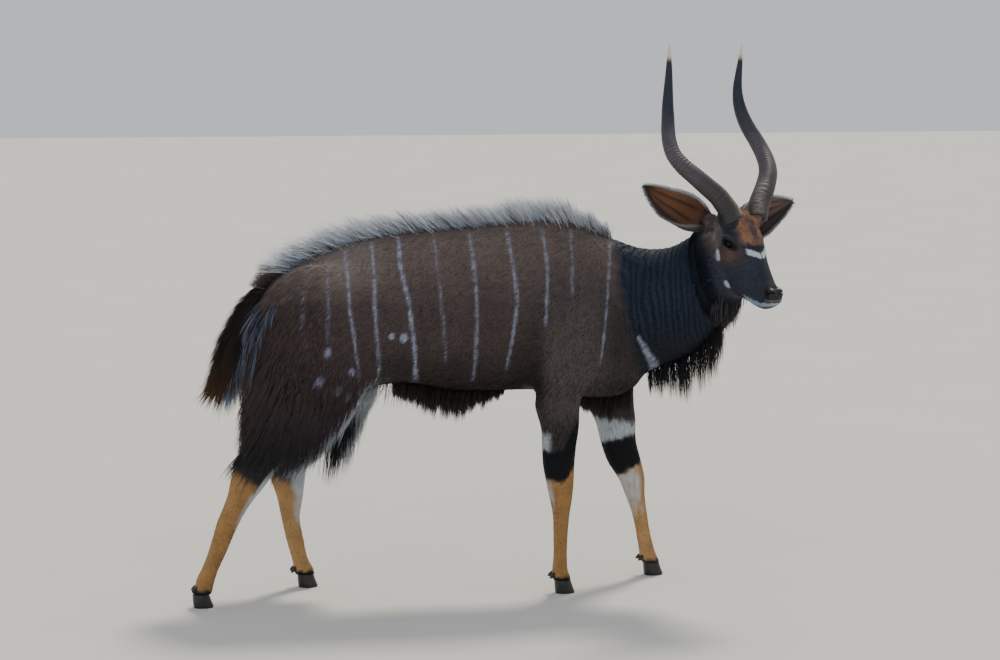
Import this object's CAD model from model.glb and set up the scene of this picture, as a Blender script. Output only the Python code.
"""The looks of a life-size lowland nyala bull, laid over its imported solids.

Metres, in the row frame. The forms are worked out in the maker's own frame and moved by SHIFT at the end.
"""

import math

import bmesh
import bpy
import numpy as np
from bpy.props import FloatProperty, FloatVectorProperty, IntProperty, PointerProperty
from mathutils import Matrix, Vector
from mathutils.bvhtree import BVHTree


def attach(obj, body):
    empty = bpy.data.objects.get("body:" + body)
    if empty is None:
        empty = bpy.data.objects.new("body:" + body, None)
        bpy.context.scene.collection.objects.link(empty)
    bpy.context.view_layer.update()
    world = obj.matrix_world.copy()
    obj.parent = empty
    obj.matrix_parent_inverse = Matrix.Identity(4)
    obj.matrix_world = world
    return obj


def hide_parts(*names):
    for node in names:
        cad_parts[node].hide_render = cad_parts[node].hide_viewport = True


bl_info = {
    "name": "Nyala bull",
    "version": (1, 0, 0),
    "blender": (4, 5, 0),
    "location": "View3D > Sidebar > Nyala",
    "description": "Skin, coat, crest, fringes, horns, eyes and hooves of a walking nyala bull",
    "category": "Object",
}

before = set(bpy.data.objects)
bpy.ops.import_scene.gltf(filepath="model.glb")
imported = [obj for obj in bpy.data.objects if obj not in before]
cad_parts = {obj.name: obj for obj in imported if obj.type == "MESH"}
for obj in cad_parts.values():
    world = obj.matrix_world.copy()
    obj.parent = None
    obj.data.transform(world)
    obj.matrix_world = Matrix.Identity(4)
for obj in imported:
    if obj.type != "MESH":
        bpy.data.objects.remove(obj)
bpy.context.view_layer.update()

SHIFT = np.array([0.0185, 0.0742, 0.0])  # from the maker's frame to the row frame
X, Y, Z = np.eye(3)
HEAD_YAW = math.radians(60.0)
HEAD_AT = np.array([0.6713, -0.200, 1.1235])
HEADING = np.array([math.cos(HEAD_YAW), -math.sin(HEAD_YAW), 0.0])
HEAD_LEFT = np.array([math.sin(HEAD_YAW), math.cos(HEAD_YAW), 0.0])
EYE_RADIUS = 0.0165
CORONET = 0.040  # height at which the legs' skin ends and the hooves begin
FACE_DEPTH = 1.6  # how far the face's skin lies inside the solids, in millimetres
TUFT_LIFT = 0.065  # how far the body's tufts stand off the skin, as a share of their length
MOST_TRIANGLES = 180000  # in one piece of hair
HORN_RINGS, HORN_SIDES = 360, 28
EAR_RINGS, EAR_SIDES = 40, 18
EAR_HAIRS = 3600
TAIL_RINGS = 60

# Torso: x, top z, bottom z, half width, egg (how much narrower the top is).
TORSO = (
    (-0.725, 0.850, 0.720, 0.035, 0.00),
    (-0.690, 0.898, 0.660, 0.074, 0.05),
    (-0.620, 0.953, 0.605, 0.111, 0.10),
    (-0.520, 1.004, 0.590, 0.135, 0.16),
    (-0.400, 1.040, 0.600, 0.146, 0.18),
    (-0.270, 1.058, 0.606, 0.155, 0.20),
    (-0.140, 1.068, 0.582, 0.162, 0.24),
    (0.000, 1.080, 0.580, 0.158, 0.28),
    (0.110, 1.090, 0.578, 0.146, 0.34),
    (0.200, 1.084, 0.562, 0.134, 0.36),
    (0.290, 1.048, 0.550, 0.120, 0.30),
    (0.370, 0.985, 0.560, 0.097, 0.18),
    (0.430, 0.900, 0.610, 0.065, 0.00),
    (0.462, 0.830, 0.670, 0.030, 0.00),
)

# Neck: top x y z, bottom x y z, half width, heading to the right in degrees.
NECK = (
    (0.160, 0.000, 1.060, 0.240, 0.000, 0.600, 0.121, 0),
    (0.270, 0.000, 1.052, 0.330, 0.000, 0.590, 0.119, 0),
    (0.345, 0.000, 1.024, 0.410, 0.000, 0.612, 0.113, 4),
    (0.425, -0.008, 0.998, 0.485, -0.020, 0.640, 0.106, 14),
    (0.492, -0.030, 1.002, 0.560, -0.060, 0.676, 0.100, 28),
    (0.548, -0.062, 1.035, 0.616, -0.114, 0.732, 0.093, 42),
    (0.590, -0.102, 1.078, 0.650, -0.165, 0.806, 0.082, 54),
    (0.622, -0.142, 1.090, 0.655, -0.204, 0.884, 0.065, 60),
)

# Head, in its own frame: top forward and up, bottom forward and up, half width, squareness, egg.
HEAD = (
    (-0.088, -0.030, -0.135, -0.130, 0.046, 2.0, 0.0),
    (-0.052, -0.012, -0.120, -0.185, 0.060, 2.1, 0.0),
    (-0.008, -0.010, -0.078, -0.222, 0.066, 2.3, 0.0),
    (0.029, -0.046, -0.040, -0.242, 0.067, 2.3, 0.0),
    (0.051, -0.090, -0.008, -0.254, 0.061, 2.3, 0.06),
    (0.070, -0.128, 0.018, -0.264, 0.050, 2.3, 0.16),
    (0.090, -0.168, 0.042, -0.272, 0.041, 2.4, 0.14),
    (0.109, -0.203, 0.064, -0.281, 0.036, 2.5, 0.06),
    (0.126, -0.226, 0.085, -0.286, 0.034, 2.5, 0.02),
    (0.138, -0.242, 0.101, -0.286, 0.030, 2.4, 0.0),
    (0.143, -0.252, 0.116, -0.280, 0.020, 2.2, 0.0),
    (0.143, -0.260, 0.127, -0.271, 0.008, 2.0, 0.0),
)

# Legs: front x z, back x z, middle y, half thickness.
LEGS = {
    "fore_right": (
        (0.330, 0.900, 0.150, 0.900, -0.077, 0.054),
        (0.352, 0.780, 0.125, 0.780, -0.092, 0.063),
        (0.318, 0.685, 0.098, 0.675, -0.101, 0.063),
        (0.252, 0.615, 0.083, 0.600, -0.101, 0.058),
        (0.227, 0.568, 0.079, 0.560, -0.099, 0.051),
        (0.214, 0.484, 0.100, 0.480, -0.104, 0.046),
        (0.206, 0.420, 0.104, 0.420, -0.100, 0.041),
        (0.203, 0.379, 0.106, 0.379, -0.100, 0.038),
        (0.201, 0.329, 0.115, 0.329, -0.100, 0.036),
        (0.197, 0.282, 0.125, 0.282, -0.100, 0.032),
        (0.189, 0.229, 0.135, 0.229, -0.100, 0.026),
        (0.184, 0.170, 0.137, 0.170, -0.100, 0.022),
        (0.182, 0.100, 0.137, 0.100, -0.100, 0.022),
        (0.184, 0.068, 0.134, 0.062, -0.100, 0.026),
        (0.190, 0.040, 0.142, 0.034, -0.100, 0.024),
        (0.192, 0.020, 0.150, 0.020, -0.100, 0.022),
    ),
    "fore_left": (
        (0.350, 0.900, 0.180, 0.900, 0.072, 0.054),
        (0.408, 0.780, 0.195, 0.780, 0.088, 0.063),
        (0.430, 0.690, 0.215, 0.665, 0.099, 0.063),
        (0.428, 0.610, 0.255, 0.585, 0.099, 0.058),
        (0.426, 0.528, 0.286, 0.506, 0.106, 0.056),
        (0.428, 0.478, 0.305, 0.464, 0.102, 0.047),
        (0.431, 0.408, 0.321, 0.402, 0.100, 0.041),
        (0.446, 0.350, 0.342, 0.344, 0.100, 0.038),
        (0.457, 0.302, 0.374, 0.294, 0.100, 0.035),
        (0.459, 0.242, 0.400, 0.232, 0.100, 0.029),
        (0.466, 0.190, 0.418, 0.180, 0.100, 0.024),
        (0.480, 0.112, 0.434, 0.100, 0.100, 0.022),
        (0.490, 0.076, 0.441, 0.062, 0.100, 0.025),
        (0.500, 0.044, 0.453, 0.034, 0.100, 0.025),
        (0.508, 0.020, 0.462, 0.020, 0.100, 0.023),
    ),
    "hind_right": (
        (-0.420, 0.960, -0.640, 0.930, -0.063, 0.054),
        (-0.385, 0.840, -0.715, 0.850, -0.081, 0.072),
        (-0.375, 0.720, -0.738, 0.760, -0.095, 0.072),
        (-0.390, 0.625, -0.744, 0.670, -0.101, 0.066),
        (-0.440, 0.550, -0.740, 0.590, -0.102, 0.055),
        (-0.520, 0.480, -0.734, 0.520, -0.112, 0.049),
        (-0.600, 0.425, -0.738, 0.466, -0.111, 0.040),
        (-0.662, 0.380, -0.764, 0.425, -0.110, 0.034),
        (-0.698, 0.335, -0.788, 0.386, -0.110, 0.032),
        (-0.735, 0.290, -0.804, 0.318, -0.110, 0.028),
        (-0.774, 0.222, -0.834, 0.243, -0.110, 0.025),
        (-0.802, 0.158, -0.854, 0.176, -0.110, 0.023),
        (-0.832, 0.092, -0.880, 0.108, -0.110, 0.023),
        (-0.842, 0.062, -0.895, 0.078, -0.110, 0.026),
        (-0.850, 0.040, -0.900, 0.044, -0.110, 0.025),
        (-0.858, 0.020, -0.904, 0.020, -0.110, 0.023),
    ),
    "hind_left": (
        (-0.400, 0.960, -0.630, 0.930, 0.063, 0.054),
        (-0.355, 0.840, -0.690, 0.850, 0.081, 0.072),
        (-0.330, 0.720, -0.704, 0.760, 0.095, 0.072),
        (-0.332, 0.630, -0.700, 0.670, 0.101, 0.066),
        (-0.370, 0.550, -0.692, 0.585, 0.102, 0.055),
        (-0.440, 0.475, -0.684, 0.505, 0.112, 0.049),
        (-0.510, 0.415, -0.680, 0.446, 0.111, 0.040),
        (-0.548, 0.360, -0.682, 0.392, 0.110, 0.034),
        (-0.558, 0.310, -0.668, 0.336, 0.110, 0.032),
        (-0.563, 0.270, -0.648, 0.280, 0.110, 0.029),
        (-0.573, 0.210, -0.634, 0.215, 0.110, 0.025),
        (-0.562, 0.140, -0.618, 0.140, 0.110, 0.023),
        (-0.551, 0.086, -0.602, 0.082, 0.110, 0.023),
        (-0.540, 0.062, -0.596, 0.056, 0.110, 0.026),
        (-0.534, 0.040, -0.588, 0.034, 0.110, 0.025),
        (-0.530, 0.020, -0.580, 0.020, 0.110, 0.023),
    ),
}

# Tail brush: middle x y z, half depth, half width.
TAIL = (
    (-0.650, 0.000, 0.905, 0.026, 0.026),
    (-0.690, 0.000, 0.868, 0.030, 0.030),
    (-0.728, 0.002, 0.812, 0.036, 0.040),
    (-0.756, 0.004, 0.750, 0.039, 0.048),
    (-0.777, 0.006, 0.690, 0.037, 0.046),
    (-0.797, 0.008, 0.640, 0.027, 0.034),
    (-0.818, 0.010, 0.600, 0.011, 0.014),
)

# Horn centre line: height over its base, reach backward, half spread, radius.
HORN = (
    (-0.035, 0.006, 0.048, 0.0300),
    (-0.012, -0.001, 0.057, 0.0300),
    (0.010, -0.008, 0.072, 0.0295),
    (0.032, -0.014, 0.090, 0.0285),
    (0.060, -0.030, 0.1195, 0.0270),
    (0.090, -0.051, 0.1485, 0.0255),
    (0.120, -0.080, 0.1700, 0.0240),
    (0.150, -0.107, 0.1780, 0.0226),
    (0.180, -0.127, 0.1740, 0.0216),
    (0.210, -0.1440, 0.1640, 0.0206),
    (0.250, -0.1590, 0.1510, 0.0190),
    (0.290, -0.1680, 0.1430, 0.0165),
    (0.330, -0.1700, 0.1395, 0.0135),
    (0.370, -0.1670, 0.1405, 0.0104),
    (0.410, -0.1635, 0.1430, 0.0072),
    (0.437, -0.1615, 0.1448, 0.0044),
    (0.458, -0.1600, 0.1460, 0.0012),
)

# The mouth's line in the head's own frame: forward and up, below the nose and at the corner.
MOUTH_FRONT = (0.116, -0.262)
MOUTH_CORNER = (0.036, -0.240)

# Crest: how far back of the origin, length, and how steeply it stands in radians.
CREST = (
    (-0.320, 0.058, 1.15),
    (-0.200, 0.092, 0.98),
    (-0.080, 0.084, 0.88),
    (0.100, 0.078, 0.78),
    (0.300, 0.086, 0.72),
    (0.450, 0.095, 0.55),
    (0.550, 0.095, 0.35),
    (0.680, 0.100, 0.10),
)

# Hanging fringes: place along the row from 0 to 1, a point below the skin x y z, half spread, length.
THROAT = (
    (0.00, 0.435, -0.020, 0.400, 0.012, 0.075),
    (0.25, 0.490, -0.040, 0.400, 0.016, 0.120),
    (0.50, 0.545, -0.070, 0.400, 0.018, 0.145),
    (0.75, 0.592, -0.115, 0.400, 0.018, 0.140),
    (1.00, 0.622, -0.152, 0.400, 0.014, 0.110),
)
BELLY = (
    (0.00, -0.310, 0.0, 0.300, 0.020, 0.050),
    (0.35, -0.220, 0.0, 0.300, 0.024, 0.095),
    (0.60, -0.145, 0.0, 0.300, 0.024, 0.120),
    (0.85, -0.065, 0.0, 0.300, 0.024, 0.080),
    (1.00, 0.010, 0.0, 0.300, 0.020, 0.040),
)
BRISKET = (
    (0.00, 0.240, 0.0, 0.300, 0.014, 0.050),
    (0.50, 0.310, 0.0, 0.300, 0.016, 0.085),
    (1.00, 0.385, 0.0, 0.300, 0.016, 0.095),
)

# Where the neck's skin ends and the head's begins: a point of the plane, and its normal towards the head.
HEAD_CUT = (HEAD_AT - HEADING * 0.105 - Z * 0.130, 0.947 * HEADING + 0.321 * Z)

# White stripes down each flank: the line's x and z from the top, and how strong it is.
STRIPES = (
    (((-0.576, 0.960), (-0.591, 0.791)), 0.25),
    (((-0.511, 0.985), (-0.518, 0.762)), 0.32),
    (((-0.457, 1.000), (-0.453, 0.843), (-0.429, 0.650)), 0.80),
    (((-0.379, 1.020), (-0.383, 0.842), (-0.369, 0.655)), 0.80),
    (((-0.302, 1.035), (-0.306, 0.960), (-0.288, 0.868), (-0.260, 0.630)), 1.00),
    (((-0.202, 1.040), (-0.197, 0.895), (-0.182, 0.702)), 0.28),
    (((-0.098, 1.050), (-0.093, 0.866), (-0.099, 0.646)), 0.75),
    (((0.010, 1.055), (0.026, 0.863), (-0.004, 0.680)), 0.80),
    (((0.113, 1.058), (0.120, 0.943), (0.107, 0.800)), 0.65),
    (((0.199, 1.050), (0.189, 0.885)), 0.38),
    (((0.313, 1.015), (0.290, 0.856), (0.267, 0.683)), 0.55),
)

# Where the dark neck meets the trunk: z and x, from below.
NECK_EDGE = (
    (0.600, 0.42), (0.636, 0.402), (0.736, 0.367), (0.853, 0.336),
    (0.966, 0.331), (1.027, 0.322), (1.10, 0.31),
)

# White spots on the haunch and flank: x, z and radius.
SPOTS = (
    (-0.519, 0.722, 0.0105),
    (-0.450, 0.666, 0.0095),
    (-0.545, 0.638, 0.0120),
    (-0.493, 0.610, 0.0095),
    (-0.461, 0.590, 0.0080),
    (-0.336, 0.765, 0.0075),
    (-0.302, 0.762, 0.0110),
)


def hex_linear(text):
    """An sRGB hex colour as linear red, green and blue."""
    out = []
    for i in (1, 3, 5):
        c = int(text[i : i + 2], 16) / 255
        out.append(c / 12.92 if c <= 0.04045 else ((c + 0.055) / 1.055) ** 2.4)
    return np.array(out)


TINT = {
    name: hex_linear(text)
    for name, text in {
        "back": "#635752",
        "flank": "#483e3c",
        "shoulder": "#4a4342",
        "rump": "#796d67",
        "haunch": "#493c3c",
        "belly": "#1a1616",
        "shag": "#28242a",
        "shag_tip": "#4f3b34",
        "white": "#c2ccd4",
        "stripe": "#9aa0b9",
        "neck": "#17202f",
        "neck_ridge": "#2f3e51",
        "neck_low": "#161b21",
        "tan": "#9e7748",
        "tan_light": "#b28e5f",
        "black": "#0b0e14",
        "charcoal": "#30343f",
        "muzzle": "#2a2a31",
        "nose": "#0d0e11",
        "chestnut": "#9d7154",
        "ochre": "#8a6446",
        "temple": "#786c66",
        "crest": "#f3f6fa",
        "crest_root": "#adb8c9",
        "crest_dark": "#5a5656",
        "tail": "#241d18",
        "tail_rust": "#6b4526",
        "tail_white": "#8e9db8",
        "ear_in": "#75503a",
        "ear_band": "#3a2219",
        "ear_out": "#4c4340",
        "ear_low": "#2a2126",
        "ear_rim": "#b9c3cb",
        "horn_dark": "#343032",
        "horn_mid": "#4e4a50",
        "horn_tip": "#d8c9a4",
        "horn_worn": "#b5a999",
        "horn_top": "#1f2535",
        "eye_edge": "#2e231d",
        "iris": "#090707",
        "pupil": "#050505",
    }.items()
}


def in_head(forward, left, up):
    """A point of the head's own frame, in the body's frame."""
    return HEAD_AT + HEADING * forward + HEAD_LEFT * left + Z * up


# Ears: root, tip and half width.
EARS = {
    "ear_right": (in_head(-0.086, -0.052, -0.045), in_head(-0.214, -0.190, 0.058), 0.055),
    "ear_left": (in_head(-0.080, 0.058, -0.072), in_head(-0.050, 0.256, 0.002), 0.056),
}


def head_parts(points):
    """Forward, left and up of these points in the head's own frame."""
    off = points - HEAD_AT
    return off @ HEADING, off @ HEAD_LEFT, off[:, 2]


def past_cut(points):
    """How far each point lies on the head's side of the cut between neck and head."""
    return (points - HEAD_CUT[0]) @ HEAD_CUT[1]


def ramp(low, high, x):
    """0 below low, 1 above high and smooth between; the ends may be given the other way round."""
    t = np.clip((x - low) / (high - low), 0.0, 1.0)
    return t * t * (3 - 2 * t)


def mottle(points, size, seed):
    """Smooth noise from -1 to 1 whose blotches are about size across."""
    rng = np.random.default_rng(seed)
    total = np.zeros(len(points))
    for _ in range(6):
        way = rng.normal(size=3)
        way *= math.pi / (size * np.linalg.norm(way)) * rng.uniform(0.7, 1.5)
        total += np.sin(points @ way + rng.uniform(0, 2 * math.pi))
    return np.clip(total / 3.0, -1.0, 1.0)


def mix(under, over, share):
    """One colour over another by a share for each point; each is a name, one row or a row for each point."""
    under, over = (TINT[colour] if isinstance(colour, str) else colour for colour in (under, over))
    return under + (over - under) * np.clip(share, 0.0, 1.0)[..., None]


def columns(*parts):
    """Arrays and numbers side by side, as the columns of one array."""
    return np.stack(np.broadcast_arrays(*parts), axis=-1)


def unit(vectors):
    return vectors / np.maximum(np.linalg.norm(vectors, axis=-1, keepdims=True), 1e-9)


def spline(rows, count):
    """The rows run through a smooth curve and read at evenly spaced stations."""
    rows = np.array(rows, float)
    steps = np.linalg.norm(np.diff(rows[:, :3], axis=0), axis=1)
    at = np.concatenate([[0.0], np.cumsum(steps)])
    slopes = np.gradient(rows, at, axis=0)
    out = []
    for s in np.linspace(0.0, at[-1], count):
        i = min(max(np.searchsorted(at, s) - 1, 0), len(rows) - 2)
        span = at[i + 1] - at[i]
        t = (s - at[i]) / span
        a = 2 * t**3 - 3 * t**2 + 1
        b = t**3 - 2 * t**2 + t
        c = -2 * t**3 + 3 * t**2
        d = t**3 - t**2
        out.append(a * rows[i] + b * span * slopes[i] + c * rows[i + 1] + d * span * slopes[i + 1])
    return np.array(out)


def ring(first, last, half, side, count=24, power=2.0, egg=0.0):
    """An outline whose one diameter runs from first to last, and whose other is 2 half along side."""
    angle = np.arange(count) * 2 * math.pi / count
    c, s = np.cos(angle), np.sin(angle)
    k = (np.abs(c) ** power + np.abs(s) ** power) ** (-1 / power)
    middle, reach = (first + last) / 2, (first - last) / 2
    wide = k * c * half * (1 - egg * k * s)
    return middle + np.outer(k * s, reach) + np.outer(wide, side)


def sweep(form, rings):
    """A circle extruded through these rings and closed at both ends."""
    count = len(rings[0])
    start = bmesh.ops.create_circle(form, cap_ends=False, segments=count, radius=1.0)["verts"]
    for vert, point in zip(start, rings[0]):
        vert.co = Vector(point)
    edges = list({edge for vert in start for edge in vert.link_edges})
    first_edges, order = edges, {vert: i for i, vert in enumerate(start)}
    for outline in rings[1:]:
        made = bmesh.ops.extrude_edge_only(form, edges=edges)["geom"]
        edges = [part for part in made if isinstance(part, bmesh.types.BMEdge)]
        following = {}
        for vert in (part for part in made if isinstance(part, bmesh.types.BMVert)):
            for edge in vert.link_edges:
                other = edge.other_vert(vert)
                if other in order:
                    following[vert] = order[other]
        for vert, i in following.items():
            vert.co = Vector(outline[i])
        order = following
    bmesh.ops.edgeloop_fill(form, edges=first_edges)
    bmesh.ops.edgeloop_fill(form, edges=edges)


def ball(form, at, radii, axes=(X, Y, Z), across=20, rows=12):
    """A sphere stretched to three radii along three axes."""
    turn = Matrix([[axes[j][i] * radii[j] for j in range(3)] + [at[i]] for i in range(3)] + [[0, 0, 0, 1]])
    bmesh.ops.create_uvsphere(form, u_segments=across, v_segments=rows, radius=1.0, matrix=turn)


def object_of(name, form, flat=False):
    """An object from a bmesh, with its faces turned out; the bmesh is used up."""
    bmesh.ops.recalc_face_normals(form, faces=form.faces)
    mesh = bpy.data.meshes.new(name)
    form.to_mesh(mesh)
    form.free()
    if not flat:
        mesh.shade_smooth()
    made = bpy.data.objects.new(name, mesh)
    bpy.context.scene.collection.objects.link(made)
    return made


def settle(made):
    """Replaces the mesh with what its modifiers make of it."""
    bpy.context.view_layer.update()
    graph = bpy.context.evaluated_depsgraph_get()
    mesh = bpy.data.meshes.new_from_object(made.evaluated_get(graph))
    made.modifiers.clear()
    old, made.data = made.data, mesh
    bpy.data.meshes.remove(old)


def voxel(made, size):
    change = made.modifiers.new("Remesh", "REMESH")
    change.mode = "VOXEL"
    change.voxel_size = size
    settle(made)


def points_of(mesh):
    points = np.empty(len(mesh.vertices) * 3)
    mesh.vertices.foreach_get("co", points)
    return points.reshape(-1, 3)


def normals_of(mesh):
    normals = np.empty(len(mesh.vertices) * 3)
    mesh.vertex_normals.foreach_get("vector", normals)
    return normals.reshape(-1, 3)


def set_points(mesh, points):
    mesh.vertices.foreach_set("co", np.asarray(points, np.float32).ravel())
    mesh.update()


def relax(mesh, rounds, soft_rounds=0, soft=1.0):
    """Smooths in pairs of steps, in and out, so that thin limbs keep their size; soft rounds only go in."""
    points = points_of(mesh)
    edges = np.empty(len(mesh.edges) * 2, int)
    mesh.edges.foreach_get("vertices", edges)
    edges = edges.reshape(-1, 2)
    ends = np.concatenate([edges[:, 0], edges[:, 1]])
    others = np.concatenate([edges[:, 1], edges[:, 0]])
    degree = np.bincount(ends, minlength=len(points))[:, None]
    for step in [0.5 * soft] * soft_rounds + [0.5, -0.52] * rounds:
        total = columns(*(np.bincount(ends, points[others, k], len(points)) for k in range(3)))
        points = points + step * (total / degree - points)
    set_points(mesh, points)


def boolean(made, other, operation):
    change = made.modifiers.new("Boolean", "BOOLEAN")
    change.operation = operation
    change.solver = "EXACT"
    change.object = other
    settle(made)
    bpy.data.objects.remove(other, do_unlink=True)


def cut_away(made, point, normal):
    """Removes what lies behind a plane and closes the cut."""
    form = bmesh.new()
    form.from_mesh(made.data)
    cut = bmesh.ops.bisect_plane(
        form,
        geom=form.verts[:] + form.edges[:] + form.faces[:],
        dist=1e-6,
        plane_co=Vector(point),
        plane_no=Vector(normal),
        clear_inner=True,
    )
    edges = [part for part in cut["geom_cut"] if isinstance(part, bmesh.types.BMEdge)]
    bmesh.ops.holes_fill(form, edges=[edge for edge in edges if edge.is_boundary], sides=0)
    form.to_mesh(made.data)
    form.free()


def paint_points(mesh, colours):
    """Stores a colour for each point, which the materials read."""
    layer = mesh.color_attributes.get("Coat") or mesh.color_attributes.new("Coat", "FLOAT_COLOR", "POINT")
    values = np.ones((len(colours), 4), np.float32)
    values[:, :3] = colours
    layer.data.foreach_set("color", values.ravel())


def carry(made, slot, *nodes):
    """Sets a finished piece in the row frame and says which body, slot and nodes it goes with."""
    made.data.transform(Matrix.Translation(Vector(SHIFT)))
    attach(made, "root")
    if nodes:
        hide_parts(*nodes)


# Materials


def node(tree, kind, fields=None, **links):
    """Adds one node, sets its fields and sockets, and links what it reads; _ stands for a space in a name."""
    made = tree.nodes.new(kind)
    for key, value in (fields or {}).items():
        if key in made.inputs:
            made.inputs[key].default_value = value
        else:
            setattr(made, key, value)
    for key, source in links.items():
        index = int(key[1:]) if key[0] == "i" and key[1:].isdigit() else key.replace("_", " ")
        tree.links.new(source, made.inputs[index])
    return made


def material(name, **sockets):
    """A Principled material; the sockets given are set on the shader itself."""
    made = bpy.data.materials.new(name)
    made.use_nodes = True
    shader = made.node_tree.nodes["Principled BSDF"]
    for key, value in sockets.items():
        shader.inputs[key.replace("_", " ")].default_value = value
    return made, made.node_tree, shader


def texture(tree, kind, size_mm, stretch=None, **fields):
    """A texture in the object's own space, with blotches about so many millimetres across."""
    place = node(tree, "ShaderNodeTexCoord").outputs["Object"]
    if stretch:
        place = node(tree, "ShaderNodeMapping", {"Scale": stretch}, Vector=place).outputs["Vector"]
    return node(tree, f"ShaderNodeTex{kind}", {"Scale": 1000.0 / size_mm, **fields}, Vector=place)


def vary(tree, shader, share, start, end, low, high):
    """Base colour: the one stored on the points, times low to high as a texture goes from start to end."""
    colour = node(tree, "ShaderNodeAttribute", {"attribute_name": "Coat"}).outputs["Color"]
    fields = {"From Min": start, "From Max": end, "To Min": low, "To Max": high}
    spread = node(tree, "ShaderNodeMapRange", fields, Value=share).outputs["Result"]
    shaded = node(tree, "ShaderNodeVectorMath", {"operation": "SCALE"}, i0=colour, Scale=spread)
    tree.links.new(shaded.outputs["Vector"], shader.inputs["Base Color"])


def two_tones(tree, shader, share, low, high):
    """Base colour: from one sRGB hex colour to another, each with the texture's value that it belongs to."""
    tone = node(tree, "ShaderNodeValToRGB", Fac=share)
    for element, (position, text) in zip(tone.color_ramp.elements, (low, high)):
        element.position, element.color = position, (*hex_linear(text), 1)
    tree.links.new(tone.outputs["Color"], shader.inputs["Base Color"])


def roughen(tree, shader, height, strength, depth_mm, invert=False):
    """Bumps from a texture's value, of a depth in millimetres."""
    fields = {"Strength": strength, "Distance": depth_mm / 1000.0, "invert": invert}
    bump = node(tree, "ShaderNodeBump", fields, Height=height)
    tree.links.new(bump.outputs["Normal"], shader.inputs["Normal"])


def coat_material(name, roughness, grain_mm, contrast, bump_mm, sheen=0.0):
    """Hair or hide: the colour stored on the points, broken up by fine grain; sizes are in millimetres."""
    sockets = {"Sheen Weight": sheen, "Sheen Roughness": 0.4, "Specular IOR Level": 0.15}
    made, tree, shader = material(name, Roughness=roughness, IOR=1.55, **sockets)
    grain = texture(tree, "Noise", grain_mm, Detail=3.0).outputs["Fac"]
    vary(tree, shader, grain, 0.3, 0.7, 1.0 - contrast, 1.0 + contrast)
    if bump_mm:
        roughen(tree, shader, grain, 0.6, bump_mm)
    return made


def dress(made, *materials):
    made.data.materials.clear()
    for one in materials:
        made.data.materials.append(one)


# Hair


def triangle_mesh(name, points, triangles, smooth):
    """An object from arrays, for joined masses of hair."""
    mesh = bpy.data.meshes.new(name)
    mesh.vertices.add(len(points))
    mesh.vertices.foreach_set("co", np.asarray(points, np.float32).ravel())
    mesh.loops.add(triangles.size)
    mesh.loops.foreach_set("vertex_index", triangles.astype(np.int32).ravel())
    mesh.polygons.add(len(triangles))
    mesh.polygons.foreach_set("loop_start", np.arange(0, triangles.size, 3, dtype=np.int32))
    mesh.update(calc_edges=True)
    if smooth:
        mesh.shade_smooth()
    made = bpy.data.objects.new(name, mesh)
    bpy.context.scene.collection.objects.link(made)
    return made


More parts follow.
